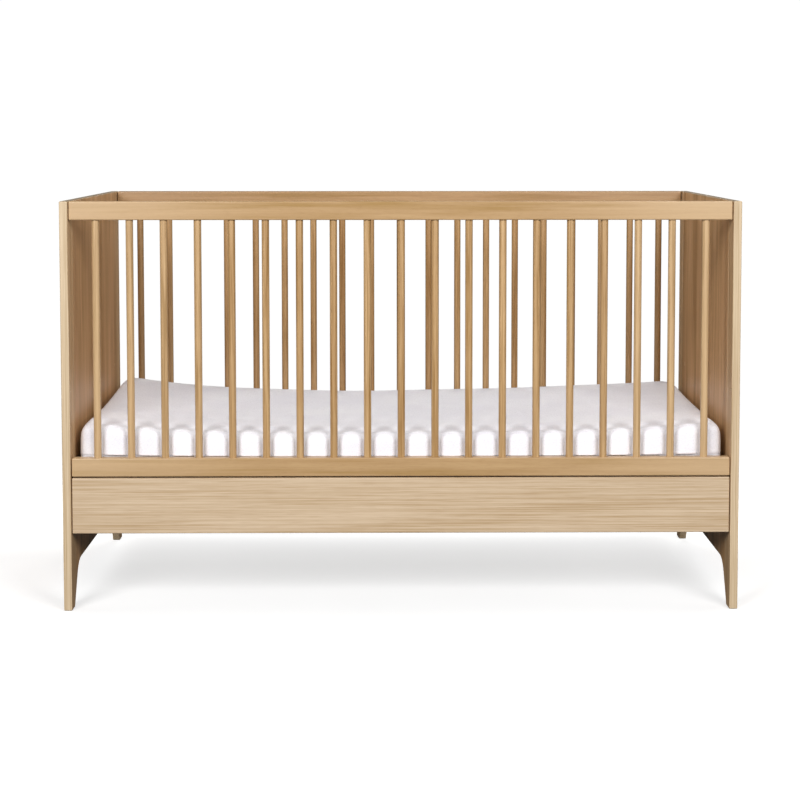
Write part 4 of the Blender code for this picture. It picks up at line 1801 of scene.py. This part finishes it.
@dataclass
class Bedding:
    """The foam mattress and the fitted sheet stretched over it.

    Attributes:
        sheet_gap: The sheet's distance from its CAD box.
        cover: From the sheet down to the mattress's ticking.
        tuck: How far the sheet reaches in under the mattress.
        fine: The grid's spacing across the swellings.
        coarse: The grid's spacing on the flat of the top.
        rim: How far in from the top's edges the fine spacing reaches.
        flat_cut: The sheet's width and length before its corners were sewn. Not used.
        corner_cut: The side of the square cut away at each corner. Not used.
        binding: The elastic binding's diameter.
    """

    sheet_gap: float = 0.0003
    cover: float = 0.0035
    tuck: float = 0.090
    fine: float = 0.0026
    coarse: float = 0.013
    rim: float = 0.028
    flat_cut: tuple[float, float] = (1.14, 1.84)
    corner_cut: float = 0.22
    binding: float = 0.005

    def form(self, inset: float, **changes: float) -> PadForm:
        """The pad's form, this far inside the mattress's CAD box.

        Args:
            inset: How far inside the CAD box it lies.
            **changes: Other sizes of the form.

        Returns:
            The form.
        """
        low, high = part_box("mattress")
        half = tuple((h - l) / 2 - inset for l, h in zip(low, high))
        return PadForm(half, (low.z + high.z) / 2, **changes)

    def grid(self, form: PadForm, fine: float, coarse: float) -> tuple[np.ndarray, np.ndarray, np.ndarray]:
        """The grid's places along each axis.

        Args:
            form: The pad's form.
            fine: The spacing where the cloth swells.
            coarse: The spacing on the flat of the top.

        Returns:
            The places along X, Y and Z.
        """
        half_x, half_y, half_z = form.half
        rim, rail = self.rim, form.rail_top - form.centre_z
        return (
            stations(-half_x, (half_x, fine)),
            stations(-half_y, (rim - half_y, fine), (half_y - rim, coarse), (half_y, fine)),
            stations(
                -half_z, (0.018 - half_z, fine * 2), (rail, fine * 4), (rail + 0.0016, 0.0008), (half_z, fine * 0.9)
            ),
        )

    def build_core(self, shop: Workshop) -> None:
        """Makes the mattress, its ticking just inside the sheet.

        Args:
            shop: The shared materials and trees.
        """
        form = self.form(self.cover, swell=0.0, crease=(0.0, 0.002), bed=0.0)
        core = block_mesh("mattress_core", form, self.grid(form, 0.012, 0.024), None)
        finished(core, shop.ticking, "mattress", ["mattress"])

    def build_sheet(self, shop: Workshop) -> None:
        """Makes the fitted sheet and the binding along its open edge.

        Args:
            shop: The shared materials and trees.
        """
        form = self.form(self.sheet_gap)
        sheet = block_mesh("fitted_sheet", form, self.grid(form, self.fine, self.coarse), self.tuck)
        finished(sheet, shop.jersey, "mattress")
        binding = self.build_binding(shop)

    def build_binding(self, shop: Workshop) -> Object:
        """Makes the gathered elastic binding under the mattress.

        Args:
            shop: The shared materials and trees.

        Returns:
            The binding's piece.
        """
        low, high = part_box("mattress")
        half_x, half_y = high.x - self.tuck, high.y - self.tuck
        flat, radius = 0.0010, 0.02
        level = low.z + 0.0018
        points = []
        for sx, sy in ((1, 1), (-1, 1), (-1, -1), (1, -1)):
            for step in range(6):
                angle = math.atan2(sy, sx) - math.pi / 4 + step / 5 * math.pi / 2
                x = sx * (half_x - radius) + radius * math.cos(angle)
                points.append((x, sy * (half_y - radius) + radius * math.sin(angle)))
        line = []
        for (x0, y0), (x1, y1) in zip(points, [*points[1:], points[0]]):
            steps = max(1, round(math.hypot(x1 - x0, y1 - y0) / 0.008))
            line += [(x0 + (x1 - x0) * i / steps, y0 + (y1 - y0) * i / steps) for i in range(steps)]

        def add_strip(bm: Mesh) -> None:
            """Adds the binding's flat oval section all along the line.

            Args:
                bm: The mesh that it is added to.
            """
            rings = []
            for index, (x, y) in enumerate(line):
                nx, ny = line[(index + 1) % len(line)]
                px, py = line[index - 1]
                normal = Vector((ny - py, px - nx, 0)).normalized()
                ruffle = 1 + 0.25 * math.sin(index * 2.1)
                ring = []
                for corner in range(8):
                    a = corner / 8 * 2 * math.pi
                    out = normal * math.cos(a) * self.binding / 2 * ruffle
                    ring.append(bm.verts.new((x + out.x, y + out.y, level + flat * math.sin(a))))
                rings.append(ring)
            for ring, after in zip(rings, [*rings[1:], rings[0]]):
                for i in range(8):
                    bm.faces.new((ring[i], ring[(i + 1) % 8], after[(i + 1) % 8], after[i]))

        binding = object_from("sheet_binding", add_strip)
        binding.data.shade_smooth()
        return finished(binding, shop.binding, "mattress")

    def build(self, shop: Workshop) -> None:
        """Makes the mattress and its sheet."""
        self.build_core(shop)
        self.build_sheet(shop)


# ---- Studio


@dataclass
class Softbox:
    """A rectangular studio light.

    Attributes:
        name: The light's name.
        place: Where it stands.
        target: What it looks at.
        size: Its width and height.
        power: Its power, in watts.
        glossy: Whether it shows in reflections.
    """

    name: str
    place: tuple[float, float, float]
    target: tuple[float, float, float]
    size: tuple[float, float]
    power: float
    glossy: bool = True

    def build(self) -> None:
        """Adds the light, hidden from the camera."""
        data = bpy.data.lights.new(self.name, "AREA")
        data.shape = "RECTANGLE"
        data.size, data.size_y = self.size
        data.energy = self.power
        light = bpy.data.objects.new(self.name, data)
        bpy.context.scene.collection.objects.link(light)
        light.location = self.place
        away = Vector(self.target) - Vector(self.place)
        light.rotation_euler = away.to_track_quat("-Z", "Y").to_euler()
        light.visible_camera = False
        light.visible_glossy = self.glossy


@dataclass
class Studio:
    """The floor, the lights, the white surroundings and the camera.

    Attributes:
        floor_half: Half the floor's width.
        floor_gap: How far below the feet it lies.
        floor_fade: The radii between which the floor gives way to the surroundings.
        surround: The surroundings' light on the crib.
        floor_glow: The light that shines through the floor, in front and behind, which the camera sees.
        glow_rise: Where the glow changes from the front's to the back's.
        floor_bounce: The floor's colour for the light that it throws back on the crib.
        camera_place: Where the camera stands.
        camera_turn: Its tilt down and its turn, in degrees.
        lens: Its focal length, in millimetres.
        shift: The lens's shift.
    """

    floor_half: float = 6.0
    floor_gap: float = 0.0002
    floor_fade: tuple[float, float] = (1.1, 2.0)
    surround: float = 0.05
    floor_glow: tuple[float, float] = (0.61, 0.80)
    glow_rise: tuple[float, float] = (0.12, 0.48)
    floor_bounce: str = "686868"
    camera_place: tuple[float, float, float] = (-0.0196, -4.4301, 1.0181)
    camera_turn: tuple[float, float] = (4.122, -0.687)
    lens: float = 85.95
    shift: tuple[float, float] = (-0.0186, -0.158)

    def build_floor(self) -> None:
        """Makes the pale floor just below the feet, which fades into the surroundings."""
        size = {"x_segments": 8, "y_segments": 8, "size": self.floor_half}
        below = Matrix.Translation((0, 0, -self.floor_gap))
        floor = object_from("studio_floor", lambda bm: bmesh.ops.create_grid(bm, matrix=below, **size))
        material, tree, shader = blank_material("painted_studio_floor", Roughness=0.8)
        place = add_node(tree, "ShaderNodeTexCoord").outputs["Object"]
        mottle = stretched_noise(tree, place, (0.3, 0.3, 0.3), 2.0)
        seen = add_node(tree, "ShaderNodeLightPath").outputs["Is Camera Ray"]
        paint = add_node(tree, "ShaderNodeValToRGB", {"Fac": mottle}, stops=[(0.3, "c2c2c2"), (0.7, "c6c6c6")])
        coats = {0: seen, 6: linear(self.floor_bounce), 7: paint.outputs[0]}
        coat = add_node(tree, "ShaderNodeMix", coats, data_type="RGBA", blend_type="MIX")
        tree.links.new(coat.outputs[2], shader.inputs["Base Color"])
        shader.inputs["Specular IOR Level"].default_value = 0.2
        shader.inputs["Emission Color"].default_value = (1, 1, 1, 1)
        depth = add_node(tree, "ShaderNodeSeparateXYZ", {"Vector": place}).outputs["Y"]
        limits = dict(zip(("From Min", "From Max", "To Min", "To Max"), (*self.glow_rise, *self.floor_glow)))
        rise = add_node(tree, "ShaderNodeMapRange", {"Value": depth, **limits}, interpolation_type="SMOOTHSTEP")
        glow = add_node(tree, "ShaderNodeMath", {0: seen, 1: rise.outputs["Result"]}, operation="MULTIPLY")
        tree.links.new(glow.outputs[0], shader.inputs["Emission Strength"])
        radius = add_node(tree, "ShaderNodeVectorMath", {0: place}, operation="LENGTH").outputs["Value"]
        near, far = self.floor_fade
        limits = {"Value": radius, "From Min": near, "From Max": far}
        fade = add_node(tree, "ShaderNodeMapRange", limits, interpolation_type="SMOOTHSTEP").outputs["Result"]
        clear = add_node(tree, "ShaderNodeBsdfTransparent").outputs[0]
        mixed = add_node(tree, "ShaderNodeMixShader", {0: fade, 1: shader.outputs[0], 2: clear})
        tree.links.new(mixed.outputs[0], tree.nodes["Material Output"].inputs["Surface"])
        floor.data.materials.append(material)

    def build_surroundings(self) -> None:
        """Makes white surroundings that light the crib more weakly than they look."""
        world = bpy.data.worlds.new("white_studio")
        world.use_nodes = True
        tree = world.node_tree
        tree.nodes.clear()
        seen = add_node(tree, "ShaderNodeBackground", {"Color": (1, 1, 1, 1), "Strength": 1.02})
        felt = add_node(tree, "ShaderNodeBackground", {"Color": (1, 1, 1, 1), "Strength": self.surround})
        path = add_node(tree, "ShaderNodeLightPath").outputs["Is Camera Ray"]
        mixed = add_node(tree, "ShaderNodeMixShader", {0: path, 1: felt.outputs[0], 2: seen.outputs[0]})
        add_node(tree, "ShaderNodeOutputWorld", {"Surface": mixed.outputs[0]})
        bpy.context.scene.world = world
        bpy.context.scene.view_settings.view_transform = "Standard"

    def build_lights(self) -> None:
        """Adds the softboxes."""
        middle = (0.0, 0.0, 0.45)
        for softbox in (
            Softbox("key_front_right", (1.80, -3.8, 2.15), middle, (1.6, 1.4), 119),
            Softbox("fill_front_left", (-1.85, -3.8, 2.2), middle, (1.6, 1.8), 134),
            Softbox("top_softbox", (0.45, 0.6, 3.1), (0, 0, 0), (2.2, 1.8), 25),
            Softbox("back_softbox", (0.3, 4.2, 1.7), middle, (2.2, 1.8), 96, False),
            # Both stay below the panels' tops, so that they light the outer faces and nothing inside.
            Softbox("low_softbox_left", (-3.0, 0.2, 0.45), middle, (1.8, 0.7), 22, False),
            Softbox("low_softbox_right", (3.0, 0.2, 0.45), middle, (1.8, 0.7), 22, False),
        ):
            softbox.build()

    def build_camera(self) -> None:
        """Adds the camera."""
        data = bpy.data.cameras.new("camera")
        data.lens = self.lens
        data.shift_x, data.shift_y = self.shift
        camera = bpy.data.objects.new("camera", data)
        bpy.context.scene.collection.objects.link(camera)
        camera.location = self.camera_place
        tilt, turn = self.camera_turn
        camera.rotation_euler = Euler((math.radians(90 - tilt), 0, math.radians(turn)))
        bpy.context.scene.camera = camera

    def build(self) -> None:
        """Sets up the studio."""
        self.build_floor()
        self.build_surroundings()
        self.build_lights()
        self.build_camera()


def main() -> None:
    """Builds the crib's assemblies in order, then the studio."""
    logging.basicConfig(level=logging.INFO, format="%(name)s %(message)s")
    shop = Workshop()
    panels = [EndPanel(end) for end in End]
    sides = [LongSide(side) for side in Side]
    for assembly in (*panels, *sides, FrameHardware(panels, sides), SlattedBase(), Bedding()):
        LOG.info("building %s", type(assembly).__name__)
        assembly.build(shop)
    Studio().build()


if __name__ == "__main__":
    main()
